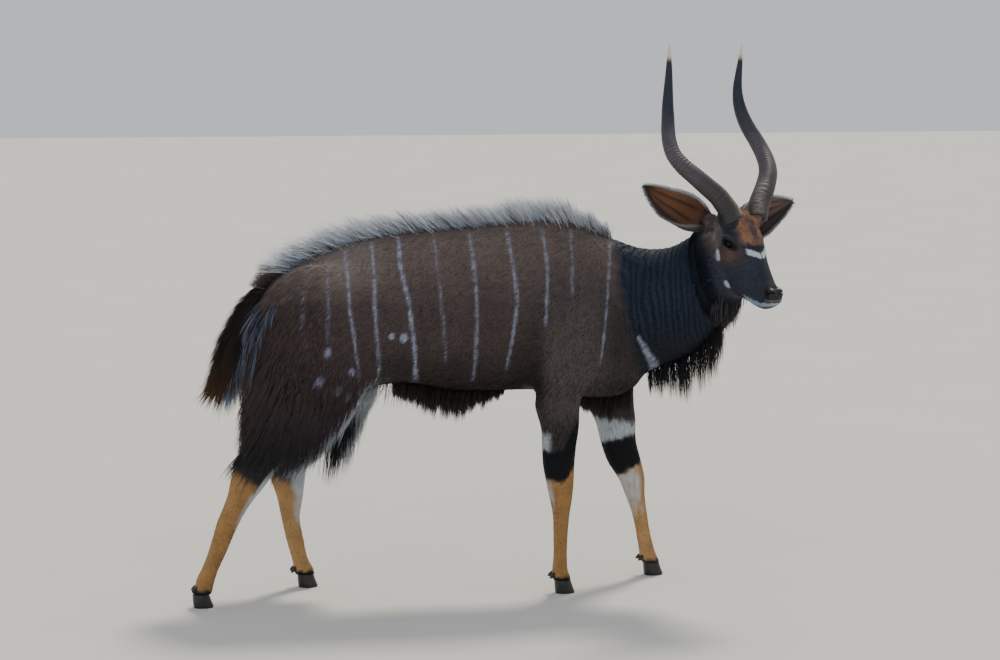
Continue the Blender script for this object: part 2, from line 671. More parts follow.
class Hair:
    """Tufts or strands by the thousand: where each grows, how it lies, and its colours."""

    FIELDS = ("roots", "outs", "lies", "lengths", "widths", "lifts", "droops", "low", "high", "seats")

    def __init__(
        self, roots, outs, lies, lengths, widths, lifts, droops, low, high, seats, clumps=None, steps=1
    ):
        self.roots, self.outs, self.lies = roots, unit(outs), lies
        self.lengths, self.widths = lengths, widths
        self.lifts = np.broadcast_to(lifts, lengths.shape)
        self.droops = np.broadcast_to(droops, lengths.shape)
        self.low, self.high, self.seats = low, high, seats
        self.clumps, self.steps = clumps, steps

    def middles(self, sink):
        """The line each one follows, from its sunk root to its tip."""
        lie = unit(self.lies)
        line = []
        for k in range(self.steps + 1):
            t = k / self.steps
            at = self.roots + lie * (self.lengths * t)[:, None]
            at = at + self.outs * (self.lifts * self.lengths * t * (1.6 - 0.7 * t))[:, None]
            at = at - Z * (self.droops * self.lengths * t * t)[:, None]
            if k == 0:
                at = at - self.outs * sink
            line.append(at)
        line = np.stack(line, axis=1)
        if self.clumps is not None:
            groups, pull = self.clumps
            size = np.bincount(groups)[groups][:, None]
            for k in range(1, self.steps + 1):
                t = k / self.steps
                centre = columns(*(np.bincount(groups, line[:, k, a])[groups] for a in range(3)))
                line[:, k] += (centre / size - line[:, k]) * pull * t**1.3
        return line

    def build(self, name, sink):
        """The points, triangles, colours and bake seats as one closed taper for each."""
        line = self.middles(sink)
        count, steps = len(self.roots), self.steps
        along = unit(np.gradient(line, axis=1))
        side = unit(np.cross(along, self.outs[:, None, :]))
        rise = np.cross(side, along)
        points = np.empty((count, 3 * steps + 1, 3))
        share, across = np.empty(3 * steps + 1), np.empty(3 * steps + 1)
        for k in range(steps):
            t = k / steps
            thick = (self.widths / 2 * (1 - t) ** 0.55)[:, None]
            for j, angle in enumerate((90, 210, 330)):
                a = math.radians(angle)
                offset = side[:, k] * math.cos(a) + rise[:, k] * math.sin(a) * (0.7 if steps > 1 else 0.4)
                points[:, 3 * k + j] = line[:, k] + offset * thick
                share[3 * k + j] = t
                across[3 * k + j] = 0.5 + math.cos(a) / 2
        points[:, -1] = line[:, -1]
        share[-1], across[-1] = 1.0, 0.5
        faces = [(0, 2, 1)]
        for k in range(steps - 1):
            for j in range(3):
                a, b = 3 * k + j, 3 * k + (j + 1) % 3
                faces += [(a, b, b + 3), (a, b + 3, a + 3)]
        last = 3 * (steps - 1)
        faces += [(last + j, last + (j + 1) % 3, 3 * steps) for j in range(3)]
        faces = np.array(faces)
        triangles = (faces[None] + (np.arange(count) * (3 * steps + 1))[:, None, None]).reshape(-1, 3)
        made = triangle_mesh(name, points.reshape(-1, 3), triangles, steps > 1)
        colour = self.low[:, None] + (self.high - self.low)[:, None] * share[None, :, None] ** 1.2
        paint_points(made.data, colour.reshape(-1, 3))
        seat = (self.seats * 0.994)[:, None] + columns(across * 0.003, share * 0.003)[None]
        layer = made.data.uv_layers.new(name="OFBake")
        layer.data.foreach_set("uv", seat.reshape(-1, 2)[triangles.ravel()].astype(np.float32).ravel())
        return made

    def part(self, keep):
        """Some of them, by index."""
        clumps = self.clumps and (np.unique(self.clumps[0][keep], return_inverse=True)[1], self.clumps[1])
        return Hair(*(getattr(self, name)[keep] for name in self.FIELDS), clumps, self.steps)


def hair_pieces(name, hair, finish, slot, sink):
    """One or more pieces of hair, none of them over the triangles that a piece may hold."""
    each = 1 + 6 * (hair.steps - 1) + 3
    order = np.argsort(hair.roots[:, 0])
    pieces = math.ceil(len(order) * each / MOST_TRIANGLES)
    for i, keep in enumerate(np.array_split(order, pieces)):
        made = hair.part(np.sort(keep)).build(name if pieces == 1 else f"{name}_{i + 1}", sink)
        dress(made, finish)
        carry(made, slot)


class Surface:
    """A finished skin as arrays, for hair to grow on."""

    def __init__(self, mesh):
        mesh.calc_loop_triangles()
        self.points, self.normals = points_of(mesh), normals_of(mesh)
        triangles = np.empty(len(mesh.loop_triangles) * 3, int)
        mesh.loop_triangles.foreach_get("vertices", triangles)
        self.triangles = triangles.reshape(-1, 3)
        corners = self.points[self.triangles]
        self.middles = corners.mean(axis=1)
        sides = corners[:, 1:] - corners[:, :1]
        self.areas = np.linalg.norm(np.cross(sides[:, 0], sides[:, 1]), axis=1) / 2

    def facing(self, way):
        """How far each triangle faces a direction."""
        return self.normals[self.triangles].mean(axis=1) @ way

    def scatter(self, density, rng):
        """Random places and normals; density gives how many to a square metre at each triangle's middle."""
        wanted = self.areas * density
        count = int(wanted.sum())
        chosen = rng.choice(len(wanted), count, p=wanted / wanted.sum())
        a, b = rng.random(count), rng.random(count)
        over = a + b > 1
        a[over], b[over] = 1 - a[over], 1 - b[over]
        weights = columns(1 - a - b, a, b)[:, :, None]
        corners = self.triangles[chosen]
        outs = (self.normals[corners] * weights).sum(axis=1)
        return (self.points[corners] * weights).sum(axis=1), unit(outs)

    def scatter_some(self, density, count, share, rng):
        """A share of some count of random places and normals, spread as density says."""
        return self.scatter(density * count * share / (density * self.areas).sum(), rng)


def clump_of(points, size, rng):
    """Groups strands by a jittered grid, so that neighbours gather into one lock."""
    cells = np.floor((points + rng.normal(scale=size * 0.2, size=points.shape)) / size).astype(int)
    return np.unique(cells, axis=0, return_inverse=True)[1].reshape(-1)


def grow(colour, rng, spread=0.12):
    """The same colours, each a little lighter or darker."""
    return np.clip(colour * (1 + rng.normal(scale=spread, size=(len(colour), 1))), 0.0, 1.0)


# Markings


def on_line(points, line, half, fray):
    """How far each point is inside a band along a line given as x and z from its top."""
    rising = np.array(line)[::-1]
    z = points[:, 2]
    off = np.abs(points[:, 0] - np.interp(z, rising[:, 1], rising[:, 0])) + fray
    low, top = rising[0, 1], rising[-1, 1]
    ends = ramp(low - 0.03, low + 0.015, z) * ramp(top + 0.012, top - 0.012, z)
    return ramp(half + 0.0025, half - 0.002, off) * ends


def white_marks(points):
    """Stripes and spots on the flanks, from 0 to 1."""
    x, z = points[:, 0], points[:, 2]
    fray = mottle(points, 0.012, 5) * 0.0015
    share = np.zeros(len(points))
    for line, strength in STRIPES:
        band = on_line(points, line, 0.0016 + 0.0019 * strength, fray)
        share = np.maximum(share, band * (0.25 + 0.75 * strength))
    share *= 0.78 + 0.22 * mottle(points, 0.014, 7)
    for sx, sz, radius in SPOTS:
        off = np.hypot(x - sx, (z - sz) * 0.85) + fray
        share = np.maximum(share, ramp(radius + 0.002, radius - 0.002, off) * 0.85)
    return share * ramp(0.03, 0.05, np.abs(points[:, 1]) + np.where(z > 0.9, 0.03, 0.0))


def fold_of(points):
    """The upright folds of the neck's skin, from -1 in a fold to 1 on its ridge."""
    along = points[:, 0] * 0.80 - points[:, 1] * 0.50 + points[:, 2] * 0.10
    bend = mottle(points, 0.09, 31) * 2.1 + mottle(points * (1.0, 1.0, 0.4), 0.02, 32) * 1.1
    return np.sin(2 * math.pi * along / 0.0155 + bend)


def neck_share(points):
    """1 on the dark neck and 0 on the trunk, along the line where the two coats meet."""
    x, _, z = points.T
    edge = np.interp(z, *zip(*NECK_EDGE))
    return ramp(-0.022, 0.022, x - edge + mottle(points, 0.02, 9) * 0.006) * ramp(0.52, 0.58, z)


def leg_places(points):
    """For each point the leg it would belong to, how far ahead and round it lies, and how the leg leans."""
    place = np.full(len(points), -1)
    ahead, angle, slope = np.zeros(len(points)), np.zeros(len(points)), np.zeros(len(points))
    for i, name in enumerate(LEGS):
        side = -1 if name.endswith("right") else 1
        fore = name.startswith("fore")
        mine = (points[:, 1] * side > 0.0) & ((points[:, 0] > -0.1) == fore)
        front, top, back, low, y, _ = np.array(LEGS[name])[::-1].T
        height, middle, half = (top + low) / 2, (front + back) / 2, (front - back) / 2
        z = points[mine, 2]
        off = points[mine, 0] - np.interp(z, height, middle)
        ahead[mine] = off / np.interp(z, height, half)
        angle[mine] = np.arctan2((points[mine, 1] - np.interp(z, height, y)) * side, off)
        slope[mine] = np.interp(z, height, np.gradient(middle, height))
        place[mine] = i
    return place, ahead, angle, slope


def leg_colour(points, normals, place, ahead):
    """The legs' own bands and patches, and how much of each point they cover."""
    z = points[:, 2] + mottle(points, 0.012, 12) * 0.004
    inward = -normals[:, 1] * np.where(place % 2 == 0, -1, 1)
    fore = place < 2
    near = place % 2 == 0
    colour = mix("tan", "tan_light", ramp(0.0, 0.6, inward) * 0.6 + ramp(0.1, 0.9, -ahead) * 0.3)
    colour = mix(colour, "ochre", ramp(0.3, 1.0, ahead) * 0.35)
    colour *= (1 + 0.10 * mottle(points, 0.03, 14))[:, None]
    # Fine cross wrinkles at the back of the forelegs.
    ripple = np.sin(2 * math.pi * z / 0.011 + mottle(points, 0.02, 15))
    wrinkled = fore * ramp(0.15, 0.22, z) * ramp(0.32, 0.27, z) * ramp(0.0, 0.6, -ahead)
    colour = mix(colour, "haunch", ramp(0.3, 0.9, ripple) * wrinkled * 0.5)
    # Forelegs: white over a black band, then a white patch on the inner side; each edge rises to the front.
    top = np.where(near, 0.420 + 0.090 * ramp(-0.1, 0.9, ahead), 0.421 + 0.0145 * ahead)
    low = np.where(near, 0.333 + 0.043 * ramp(0.1, 1.0, ahead), 0.326 + 0.022 * ahead)
    reach = np.where(near, 0.075, 0.125)
    streak = 0.5 + 0.5 * mottle(points * (1.0, 1.0, 0.25), 0.008, 18)
    white_low = ramp(low - reach, low - reach * 0.5, z + streak * 0.03) * ramp(low + 0.01, low - 0.01, z)
    behind = np.where(near, -ahead, np.abs(ahead))
    white_low = white_low * np.maximum(ramp(0.1, 0.6, inward), ramp(0.55, 0.85, behind))
    white_low = white_low * np.where(near, 1.0, ramp(0.75, 0.25, ahead))
    colour = mix(colour, "white", white_low * fore * (0.30 + 0.50 * streak))
    colour = mix(colour, "black", fore * ramp(low - 0.008, low + 0.006, z))
    upper = TINT["shoulder"] * (1 + 0.08 * mottle(points, 0.03, 17))[:, None]
    upper = mix(upper, "belly", ramp(0.55, 0.45, z) * 0.5)
    above = fore * ramp(top - 0.005, top + 0.006, z)
    colour = np.where(above[:, None] > 0, mix(colour, upper, above), colour)
    edges = np.maximum(ramp(0.0, 0.4, inward), ramp(0.45, 0.8, np.abs(ahead)) * 0.9)
    edges = np.where(near, edges * ramp(0.6, 0.2, ahead), 1.0)
    roof = np.where(near, top + 0.055, 0.478 - 0.011 * ahead + 0.006 * mottle(points, 0.008, 19))
    white_top = ramp(top - 0.002, top + 0.006, z) * ramp(roof, roof - 0.010, z) * edges
    colour = mix(colour, "white", white_top * fore * 0.85)
    # Hind legs: dark shag down to the hock, and a white patch in front and inside below it.
    hind = ~fore
    hock = np.where(near, 0.362, 0.318) - ahead * 0.030
    patch = ramp(hock - 0.125, hock - 0.075, z) * ramp(hock, hock - 0.03, z)
    patch = patch * np.maximum(ramp(0.45, 0.9, ahead), ramp(0.3, 0.8, inward) * ramp(0.05, 0.60, ahead))
    colour = mix(colour, "white", patch * hind * 0.6)
    colour = mix(colour, "shag", hind * ramp(hock - 0.015, hock + 0.015, z))
    front = hind * ramp(hock - 0.030, hock - 0.010, z) * ramp(0.70, 0.62, z)
    colour = mix(colour, "white", front * ramp(0.86, 0.95, ahead) * 0.8)
    colour = mix(colour, "white", front * ramp(0.2, 0.6, inward) * ramp(0.0, 0.4, ahead) * 0.75)
    colour = mix(colour, "black", ramp(0.056, 0.044, z))
    share = np.where(fore, ramp(0.60, 0.50, z), ramp(0.66, 0.50, z)) * ramp(1.5, 1.2, np.abs(ahead))
    return colour, share


def body_colour(points, normals):
    """The coat's colour anywhere on the trunk, neck and legs."""
    x, y, z = points.T
    colour = mix("flank", "back", ramp(0.80, 1.02, z))
    colour = mix(colour, "shoulder", ramp(0.02, 0.16, x) * ramp(1.0, 0.85, z))
    colour = mix(colour, "rump", ramp(-0.28, -0.48, x) * ramp(0.84, 0.97, z))
    colour = mix(colour, "haunch", ramp(-0.36, -0.54, x) * ramp(0.94, 0.74, z))
    colour = mix(colour, "belly", ramp(0.79, 0.60, z) * ramp(-0.5, -0.3, x) * ramp(0.13, 0.08, x) * 0.85)
    colour = mix(colour, "shag", ramp(-0.42, -0.58, x) * ramp(0.76, 0.58, z))
    colour = colour * (1 + 0.08 * mottle(points, 0.10, 2) + 0.08 * mottle(points, 0.014, 3))[:, None]
    # Shade: dark behind the elbow and in front of the upper arm, lighter on the arm itself.
    elbow = np.interp(z, (0.60, 0.75, 0.87), (0.082, 0.086, 0.112))
    shade = 1 - 0.30 * ramp(-0.12, -0.01, x - elbow) * ramp(0.030, 0.0, x - elbow) * ramp(0.90, 0.76, z)
    shade += 0.10 * ramp(0.0, 0.04, x - elbow) * ramp(0.27, 0.20, x) * ramp(0.86, 0.76, z)
    shade -= 0.42 * ramp(0.24, 0.34, x) * ramp(0.90, 0.76, z)
    colour = mix(colour * shade[:, None], TINT["stripe"], white_marks(points))
    place, ahead, _, _ = leg_places(points)
    legs, share = leg_colour(points, normals, place, ahead)
    colour = mix(colour, legs, share * ramp(0.0, 0.035, np.abs(y)))
    calm = ramp(0.0, -0.09, past_cut(points))
    neck = mix("neck", "neck_ridge", ramp(-0.1, 0.9, fold_of(points)) * calm * ramp(0.68, 0.80, z) * 0.42)
    neck = mix(neck, "neck_low", ramp(0.86, 0.70, z) * 0.7)
    colour = mix(colour, neck * (1 + 0.10 * mottle(points, 0.05, 21))[:, None], neck_share(points))
    # A white wedge where the throat meets the breast, on each side.
    start, end = np.array([0.388, 0.742]), np.array([0.470, 0.612])
    run = end - start
    flat = points[:, [0, 2]] - start
    t = np.clip(flat @ run / (run @ run), 0.0, 1.0)
    off = np.linalg.norm(flat - t[:, None] * run, axis=1) + mottle(points, 0.01, 23) * 0.002
    wedge = ramp(0.004 + 0.015 * t + 0.003, 0.001 + 0.013 * t, off)
    return mix(colour, TINT["stripe"] * 0.9, wedge * (0.70 + 0.30 * mottle(points, 0.008, 24)))


def eye_axes(side):
    """The eye's middle, then along the slit of the lids, across it and outwards."""
    look = HEAD_LEFT * side * 0.90 + HEADING * 0.40 + Z * 0.10
    look /= np.linalg.norm(look)
    along = HEADING * 0.70 - Z * 0.32
    along = along - look * (along @ look)
    along /= np.linalg.norm(along)
    return in_head(-0.004, side * 0.0510, -0.1040), along, np.cross(look, along), look


def mouth_up(forward):
    """Height of the line of the mouth, in the head's frame."""
    t = np.clip((MOUTH_FRONT[0] - forward) / (MOUTH_FRONT[0] - MOUTH_CORNER[0]), 0.0, 1.0)
    return MOUTH_FRONT[1] + (MOUTH_CORNER[1] - MOUTH_FRONT[1]) * t - 0.006 * np.sin(math.pi * t)


def spot(a, b, at, radii, lean):
    """An oval mark in two coordinates, from 0 to 1."""
    da, db = a - at[0], b - at[1]
    c, s = math.cos(lean), math.sin(lean)
    off = np.hypot((da * c + db * s) / radii[0], (db * c - da * s) / radii[1])
    return ramp(1.25, 0.85, off)


def head_colour(points, normals):
    """The coat's colour anywhere on the head."""
    f, left, u = head_parts(points)
    wide = np.abs(left)
    out = np.abs(normals @ HEAD_LEFT)
    grain = mottle(points, 0.006, 41) * 0.003
    behind = past_cut(points)
    colour = mix("charcoal", "neck", ramp(-0.03, -0.09, f) * 0.8)
    colour = mix(colour, "neck", ramp(0.055, 0.010, behind) * 0.9)
    hairy = 0.5 + 0.5 * mottle(points * (1.0, 1.0, 0.2), 0.007, 46)
    temple = ramp(-0.016, -0.040, f) * ramp(-0.150, -0.085, u) * ramp(0.004, 0.050, behind)
    colour = mix(colour, "temple", temple * (0.45 + 0.45 * hairy))
    under = np.exp(-(((f - 0.004) / 0.036) ** 2) - ((u + 0.134) / 0.024) ** 2)
    colour = mix(colour, "ochre", under * 0.40 * out)
    colour = mix(colour, "muzzle", ramp(0.075, 0.115, f) * 0.9)
    colour = mix(colour, "neck_low", ramp(-0.255, -0.285, u) * ramp(0.05, 0.02, f))
    # Chestnut forehead with a dark middle, darkest just over the chevron.
    streaks = mottle(points, 0.010, 42)
    brow = ramp(0.054, 0.034, wide + streaks * 0.004) * ramp(-0.112, -0.092, u + streaks * 0.004)
    brow = brow * ramp(-0.035, 0.0, f)
    colour = mix(colour, "chestnut", brow * (0.78 + 0.22 * streaks))
    middle = ramp(0.022, 0.006, wide + streaks * 0.003) * ramp(-0.112, -0.080, u) * ramp(-0.010, -0.040, u)
    colour = mix(colour, "charcoal", middle * brow * 0.75)
    bridge = ramp(-0.104, -0.110, u) * ramp(-0.130, -0.118, u) * ramp(0.04, 0.02, wide) * ramp(0.02, 0.04, f)
    colour = mix(colour, "muzzle", bridge)
    # Chevron: one white bar on each side, rising outwards, split at the ridge of the nose.
    bar = np.abs(u - (-0.135 + (wide - 0.004) * 0.36)) + grain * 0.6
    chevron = ramp(0.0092, 0.0064, bar) * ramp(0.0008, 0.0026, wide) * ramp(0.041, 0.034, wide)
    colour = mix(colour, "white", chevron * ramp(0.030, 0.040, f))
    # Cheek marks, a pale line over the eye, and the small tan one behind the jaw.
    cheek = out * ramp(0.03, 0.04, wide)
    for tint, at, radii, lean, strength in (
        ("white", (-0.036, -0.136), (0.0055, 0.0165), 0.25, 0.75),
        ("white", (-0.010, -0.219), (0.0058, 0.0110), 0.25, 0.8),
        ("chestnut", (-0.062, -0.212), (0.0045, 0.0035), 0.0, 0.8),
    ):
        colour = mix(colour, tint, spot(f, u, at, radii, lean) * cheek * strength)
    for side in (-1, 1):
        at, along, across, look = eye_axes(side)
        across = across if across[2] > 0 else -across
        off = points - at
        a, b, depth = off @ along, off @ across, off @ look
        ring_at = np.hypot((a - 0.004) / 0.0300, b / 0.0125)
        near = ramp(-0.010, 0.0, depth)
        arc = np.hypot((a + 0.002) / 0.034, b / 0.0195)
        lit = ramp(0.14, 0.04, np.abs(arc - 1.0)) * ramp(0.005, 0.011, b) * ramp(0.010, -0.004, a) * near
        colour = mix(colour, TINT["temple"] * 0.75, lit * 0.6)
        colour = mix(colour, TINT["pupil"] + 0.008, ramp(1.12, 0.86, ring_at) * near * 0.95)
    # White lower lip and chin, and white at the front of the upper lip.
    gap = u - mouth_up(f)
    lip = ramp(0.000, -0.004, gap + grain) * ramp(-0.024, -0.016, gap + (0.075 - f) * 0.15)
    lip = lip * ramp(0.030, 0.046, f)
    colour = mix(colour, TINT["white"] * (0.50, 0.59, 0.68), lip * 0.9)
    upper = ramp(0.012, 0.006, gap) * ramp(0.001, 0.004, gap) * ramp(0.112, 0.128, f)
    colour = mix(colour, "white", upper * 0.35)
    pad = ramp(0.108, 0.118, f) * ramp(-0.262, -0.254, u) * ramp(-0.214, -0.222, u) * ramp(0.034, 0.028, wide)
    colour = mix(colour, "nose", pad)
    return np.clip(colour * (1 + 0.08 * mottle(points, 0.02, 45))[:, None], 0, 1)


# How the coat lies


def laid(lie, outs, share=1.0):
    """Directions laid flat on a surface, or nearly so where share is under 1."""
    return unit(lie - outs * ((lie * outs).sum(axis=1) * share)[:, None])


def waver(points, sizes, seed):
    """Smooth noise in each of the three directions, with a blotch size for each."""
    return columns(*(mottle(points, size, seed + i) for i, size in enumerate(sizes)))


def body_lie(points, normals):
    """Direction, length and width of the short coat on the trunk, neck and legs."""
    x, _, z = points.T
    neck, leg = neck_share(points), ramp(0.62, 0.50, z)
    lie = np.array([-0.85, 0.0, -0.60])
    for way, share in (
        ((-0.45, 0.0, -1.0), ramp(0.05, 0.20, x) * ramp(0.98, 0.80, z)),
        ((-0.60, 0.0, -1.0), ramp(-0.40, -0.62, x) * ramp(0.96, 0.78, z)),
        ((-0.28, 0.10, -1.0), neck),
        (columns(-leg_places(points)[3], 0.0, -1.0), leg),
    ):
        lie = mix(lie, np.array(way), share)
    lie = laid(lie + 0.08 * waver(points, (0.07, 0.05, 0.05), 51), normals)
    length = 0.012 + 0.016 * ramp(-0.44, -0.62, x) * (1 - leg) + 0.008 * ramp(0.66, 0.60, z) * (1 - leg)
    length = length * (1 - 0.25 * neck)
    length = length * (1 - leg) + leg * (0.008 + 0.010 * ramp(0.35, 0.50, z))
    return lie, length, 0.0028 * (1 - leg) + 0.0022 * leg


def is_cap(surface, way):
    """Which triangles close a skin at the cut between head and neck, where no hair grows."""
    return (np.abs(past_cut(surface.middles)) < 0.020) & (surface.facing(way) > 0.85)


def seam_share(points):
    """1 where the head's coat has to run over the neck's, and 0 further forward."""
    return ramp(0.045, 0.015, past_cut(points))


def head_lie(points, normals):
    """Direction and length of the face's coat: up and back from the nose."""
    f, left, u = head_parts(points)
    back, seam = ramp(-0.02, -0.09, f), seam_share(points)
    lie = -HEADING * 0.75 + Z * 0.25 + np.outer(left * 4.0, HEAD_LEFT)
    lie = lie + np.outer(ramp(0.02, 0.08, f), Z * 0.8 - HEADING * 0.1)
    lie = mix(lie, np.array([-0.35, 0.1, -1.0]), back)
    lie = laid(lie + 0.10 * waver(points, (0.03, 0.03, 0.03), 61), normals)
    lie = unit(mix(lie, -HEAD_CUT[1] - Z * 0.6, seam * 0.7))
    length = 0.0065 + 0.009 * back + 0.004 * ramp(-0.05, -0.03, u) + 0.020 * seam
    return lie, length * (1 - 0.5 * ramp(0.09, 0.12, f))


def seats_of(points, kind):
    """Places in the bake's square, unrolled round the trunk, neck, head or legs."""
    x, y, z = points.T
    if kind == "legs":
        place, _, angle, _ = leg_places(points)
        return columns((np.maximum(place, 0) + (angle / (2 * math.pi) + 0.5) * 0.98) / 4, z)
    if kind == "head":
        f, left, u = head_parts(points)
        return columns(np.arctan2(left, f * 0.8 + 0.03 - u * 0.35) / (2 * math.pi) + 0.5, (u + 0.32) / 0.36)
    start, span, aside, up = (0.28, 0.42, 0.07, 0.85) if kind == "neck" else (-0.92, 1.36, 0.0, 0.82)
    return columns((x - start) / span, np.arctan2(y + aside, z - up) / (2 * math.pi) + 0.5)


# Skins

SKINS = {}

# Muscles under the skin: x, y and z on one side, and three radii; the first two follow the foreleg.
MUSCLES = (
    (0.235, 0.086, 0.785, (0.120, 0.050, 0.165)),
    (0.330, 0.064, 0.700, (0.080, 0.054, 0.085)),
    (-0.535, 0.084, 0.830, (0.165, 0.062, 0.150)),
    (-0.465, 0.090, 0.885, (0.080, 0.034, 0.055)),
)

# Brow, cheek, root of the horn, root of the ear, nostril and lip: forward, outward, up and three radii.
FEATURES = (
    (-0.002, 0.042, -0.098, (0.036, 0.026, 0.030)),
    (-0.035, 0.038, -0.175, (0.044, 0.026, 0.052)),
    (-0.010, 0.050, -0.030, (0.038, 0.034, 0.036)),
    (-0.080, 0.050, -0.055, (0.034, 0.026, 0.034)),
    (0.124, 0.015, -0.238, (0.017, 0.014, 0.016)),
    (0.100, 0.018, -0.262, (0.028, 0.015, 0.009)),
)


def neck_rings():
    """Outlines of the neck, from the trunk to the head."""
    out = []
    for r in spline(NECK, 34):
        turn = math.radians(r[7])
        side = X * math.sin(turn) + Y * math.cos(turn)
        out.append(ring(r[0:3], r[3:6], r[6], side, 40, 2.15, 0.05))
    return out


def body_skin(voxel_mm, depth):
    """Trunk, neck and legs as one skin, with muscles, folds and the coat's depth taken off."""
    form = bmesh.new()
    rows = spline([(x, (top + low) / 2, 0, top, low, half, egg) for x, top, low, half, egg in TORSO], 48)
    sweep(form, [ring(X * r[0] + Z * r[3], X * r[0] + Z * r[4], r[5], Y, 40, 2.1, r[6]) for r in rows])
    sweep(form, neck_rings())
    for rows in LEGS.values():
        line = spline([(fx, 0, fz, bx, 0, bz, y, half) for fx, fz, bx, bz, y, half in rows], 70)
        sweep(form, [ring(r[0:3] + Y * r[6], r[3:6] + Y * r[6], r[7], Y, 28, 2.15) for r in line])
    tail = spline(TAIL, 12)[:3]
    sweep(form, [ring(r[0:3] + X * r[3], r[0:3] - X * r[3], r[4], Y, 20) for r in tail])
    for side in (-1, 1):
        reach = 0.025 if side > 0 else 0.0
        for x, y, z, radii in MUSCLES:
            ball(form, (x + reach * (x > 0), side * y, z), radii)
    made = object_of("body_skin", form)
    voxel(made, voxel_mm / 1000)
    rounds = (7.0 / voxel_mm) ** 2
    relax(made.data, round(10 * rounds), round(22 * rounds), ramp(0.52, 0.62, points_of(made.data)[:, 2:]))
    cut_away(made, HEAD_CUT[0] + HEAD_CUT[1] * 0.006, -HEAD_CUT[1])
    cut_away(made, (0, 0, CORONET - 0.0005), Z)
    made.data.shade_smooth()
    points, normals = points_of(made.data), normals_of(made.data)
    z = points[:, 2]
    off = depth / 1000 * (0.42 + 0.58 * ramp(0.45, 0.60, z)) * ramp(0.045, 0.075, z)
    smooth = ramp(0.02, -0.10, past_cut(points))
    folds = fold_of(points) * 0.0013 * neck_share(points) * ramp(0.68, 0.80, z) * smooth
    set_points(made.data, points + normals * (folds - off)[:, None])
    made.data.shade_smooth()
    return made


def head_skin(voxel_mm, depth):
    """The head as one skin, with lids, nostrils, lips and the line of the mouth."""
    form = bmesh.new()
    rows = spline([(t, u, 0, b, v, w, p, e) for t, u, b, v, w, p, e in HEAD], 40)
    ends = [(in_head(r[0], 0, r[1]), in_head(r[3], 0, r[4])) for r in rows]
    sweep(form, [ring(*pair, r[5], HEAD_LEFT, 44, r[6], r[7]) for pair, r in zip(ends, rows)])
    sweep(form, neck_rings()[19:])
    for side in (-1, 1):
        for forward, outward, up, radii in FEATURES:
            ball(form, in_head(forward, side * outward, up), radii, (HEADING, HEAD_LEFT, Z))
        at, *axes = eye_axes(side)
        ball(form, at, (EYE_RADIUS + 0.0068, EYE_RADIUS + 0.0030, EYE_RADIUS + 0.0032), axes, 32, 20)
    made = object_of("head_skin", form)
    voxel(made, voxel_mm / 1000)
    relax(made.data, 18, 16)
    points = points_of(made.data)
    f, _, u = head_parts(points)
    soft = ramp(0.062, 0.035, f) * ramp(-0.138, -0.158, u) * ramp(0.010, 0.060, past_cut(points))
    relax(made.data, 0, 90, soft[:, None])
    cut_away(made, HEAD_CUT[0] - HEAD_CUT[1] * 0.010, HEAD_CUT[1])
    cutters = bmesh.new()
    for side in (-1, 1):
        # The slit of the lids, then the nostril.
        at, along, across, look = eye_axes(side)
        slit = []
        for i in range(28):
            a = 2 * math.pi * i / 28
            high = across * 0.0088 * math.sin(a) * abs(math.sin(a)) ** 0.35
            slit.append(along * 0.0172 * math.cos(a) + high)
        sweep(cutters, [np.array([at + point + look * deep for point in slit]) for deep in (0.006, 0.03)])
        rings = []
        for t in np.linspace(0, 1, 8):
            place = in_head(0.131 - 0.014 * t, side * (0.013 + 0.011 * math.sin(t * 2.0)), -0.240 + 0.002 * t)
            size = 0.0030 + 0.0030 * math.sin(math.pi * t)
            first, last = place + HEADING * 0.012 + Z * size, place - HEADING * 0.006 - Z * size
            rings.append(ring(first, last, size, HEAD_LEFT, 16))
        sweep(cutters, rings)
    corners = [v.co for v in made.data.vertices]
    tree = BVHTree.FromPolygons(corners, [p.vertices[:] for p in made.data.polygons])
    for side in (-1, 1):
        # The line of the mouth follows the skin from the nose to its corner.
        path = []
        for forward in np.linspace(MOUTH_FRONT[0] + 0.004, MOUTH_CORNER[0], 22):
            start = in_head(forward, side * 0.12, float(mouth_up(forward)))
            at = tree.ray_cast(Vector(start), Vector(-HEAD_LEFT * side), 0.3)[0]
            if at is not None:
                path.append(np.array(at))
        path = np.array(path)
        along = unit(np.gradient(path, axis=0))
        aside = unit(np.cross(along, Z))
        rise = np.cross(aside, along)
        size = 0.0016 * np.sin(np.linspace(0.35, math.pi - 0.25, len(path))) ** 0.6
        rows = zip(path, rise, size, aside)
        sweep(cutters, [ring(at + up * s, at - up * s, s * 1.6, wide, 10) for at, up, s, wide in rows])
    boolean(made, object_of("head_cuts", cutters, flat=True), "DIFFERENCE")
    made.data.shade_smooth()
    points, normals = points_of(made.data), normals_of(made.data)
    f = head_parts(points)[0]
    off = depth / 1000 * ramp(0.125, 0.105, f) + 0.0045 * ramp(0.04, -0.005, past_cut(points))
    for side in (-1, 1):
        off = off * ramp(0.020, 0.034, np.linalg.norm(points - eye_axes(side)[0], axis=1))
    set_points(made.data, points - normals * off[:, None])
    made.data.shade_smooth()
    return made


def over_square(a, b):
    """Two coordinates of an unrolled surface, spread over the bake's square."""
    pair = columns(a, b)
    low, high = pair.min(axis=0), pair.max(axis=0)
    return (pair - low) / np.maximum(high - low, 1e-6)


def tree_of(surface):
    return BVHTree.FromPolygons(surface.points.tolist(), surface.triangles.tolist())


def drop_on(tree, starts, aim):
    """Where rays from these points first meet a skin, with its normals; the ones that miss are left out."""
    hits, outs, kept = [], [], []
    for i, start in enumerate(starts):
        at, normal, _, _ = tree.ray_cast(Vector(start), Vector(aim))
        if at is not None:
            hits.append(at[:])
            outs.append(normal[:])
            kept.append(i)
    return np.array(hits), np.array(outs), np.array(kept)


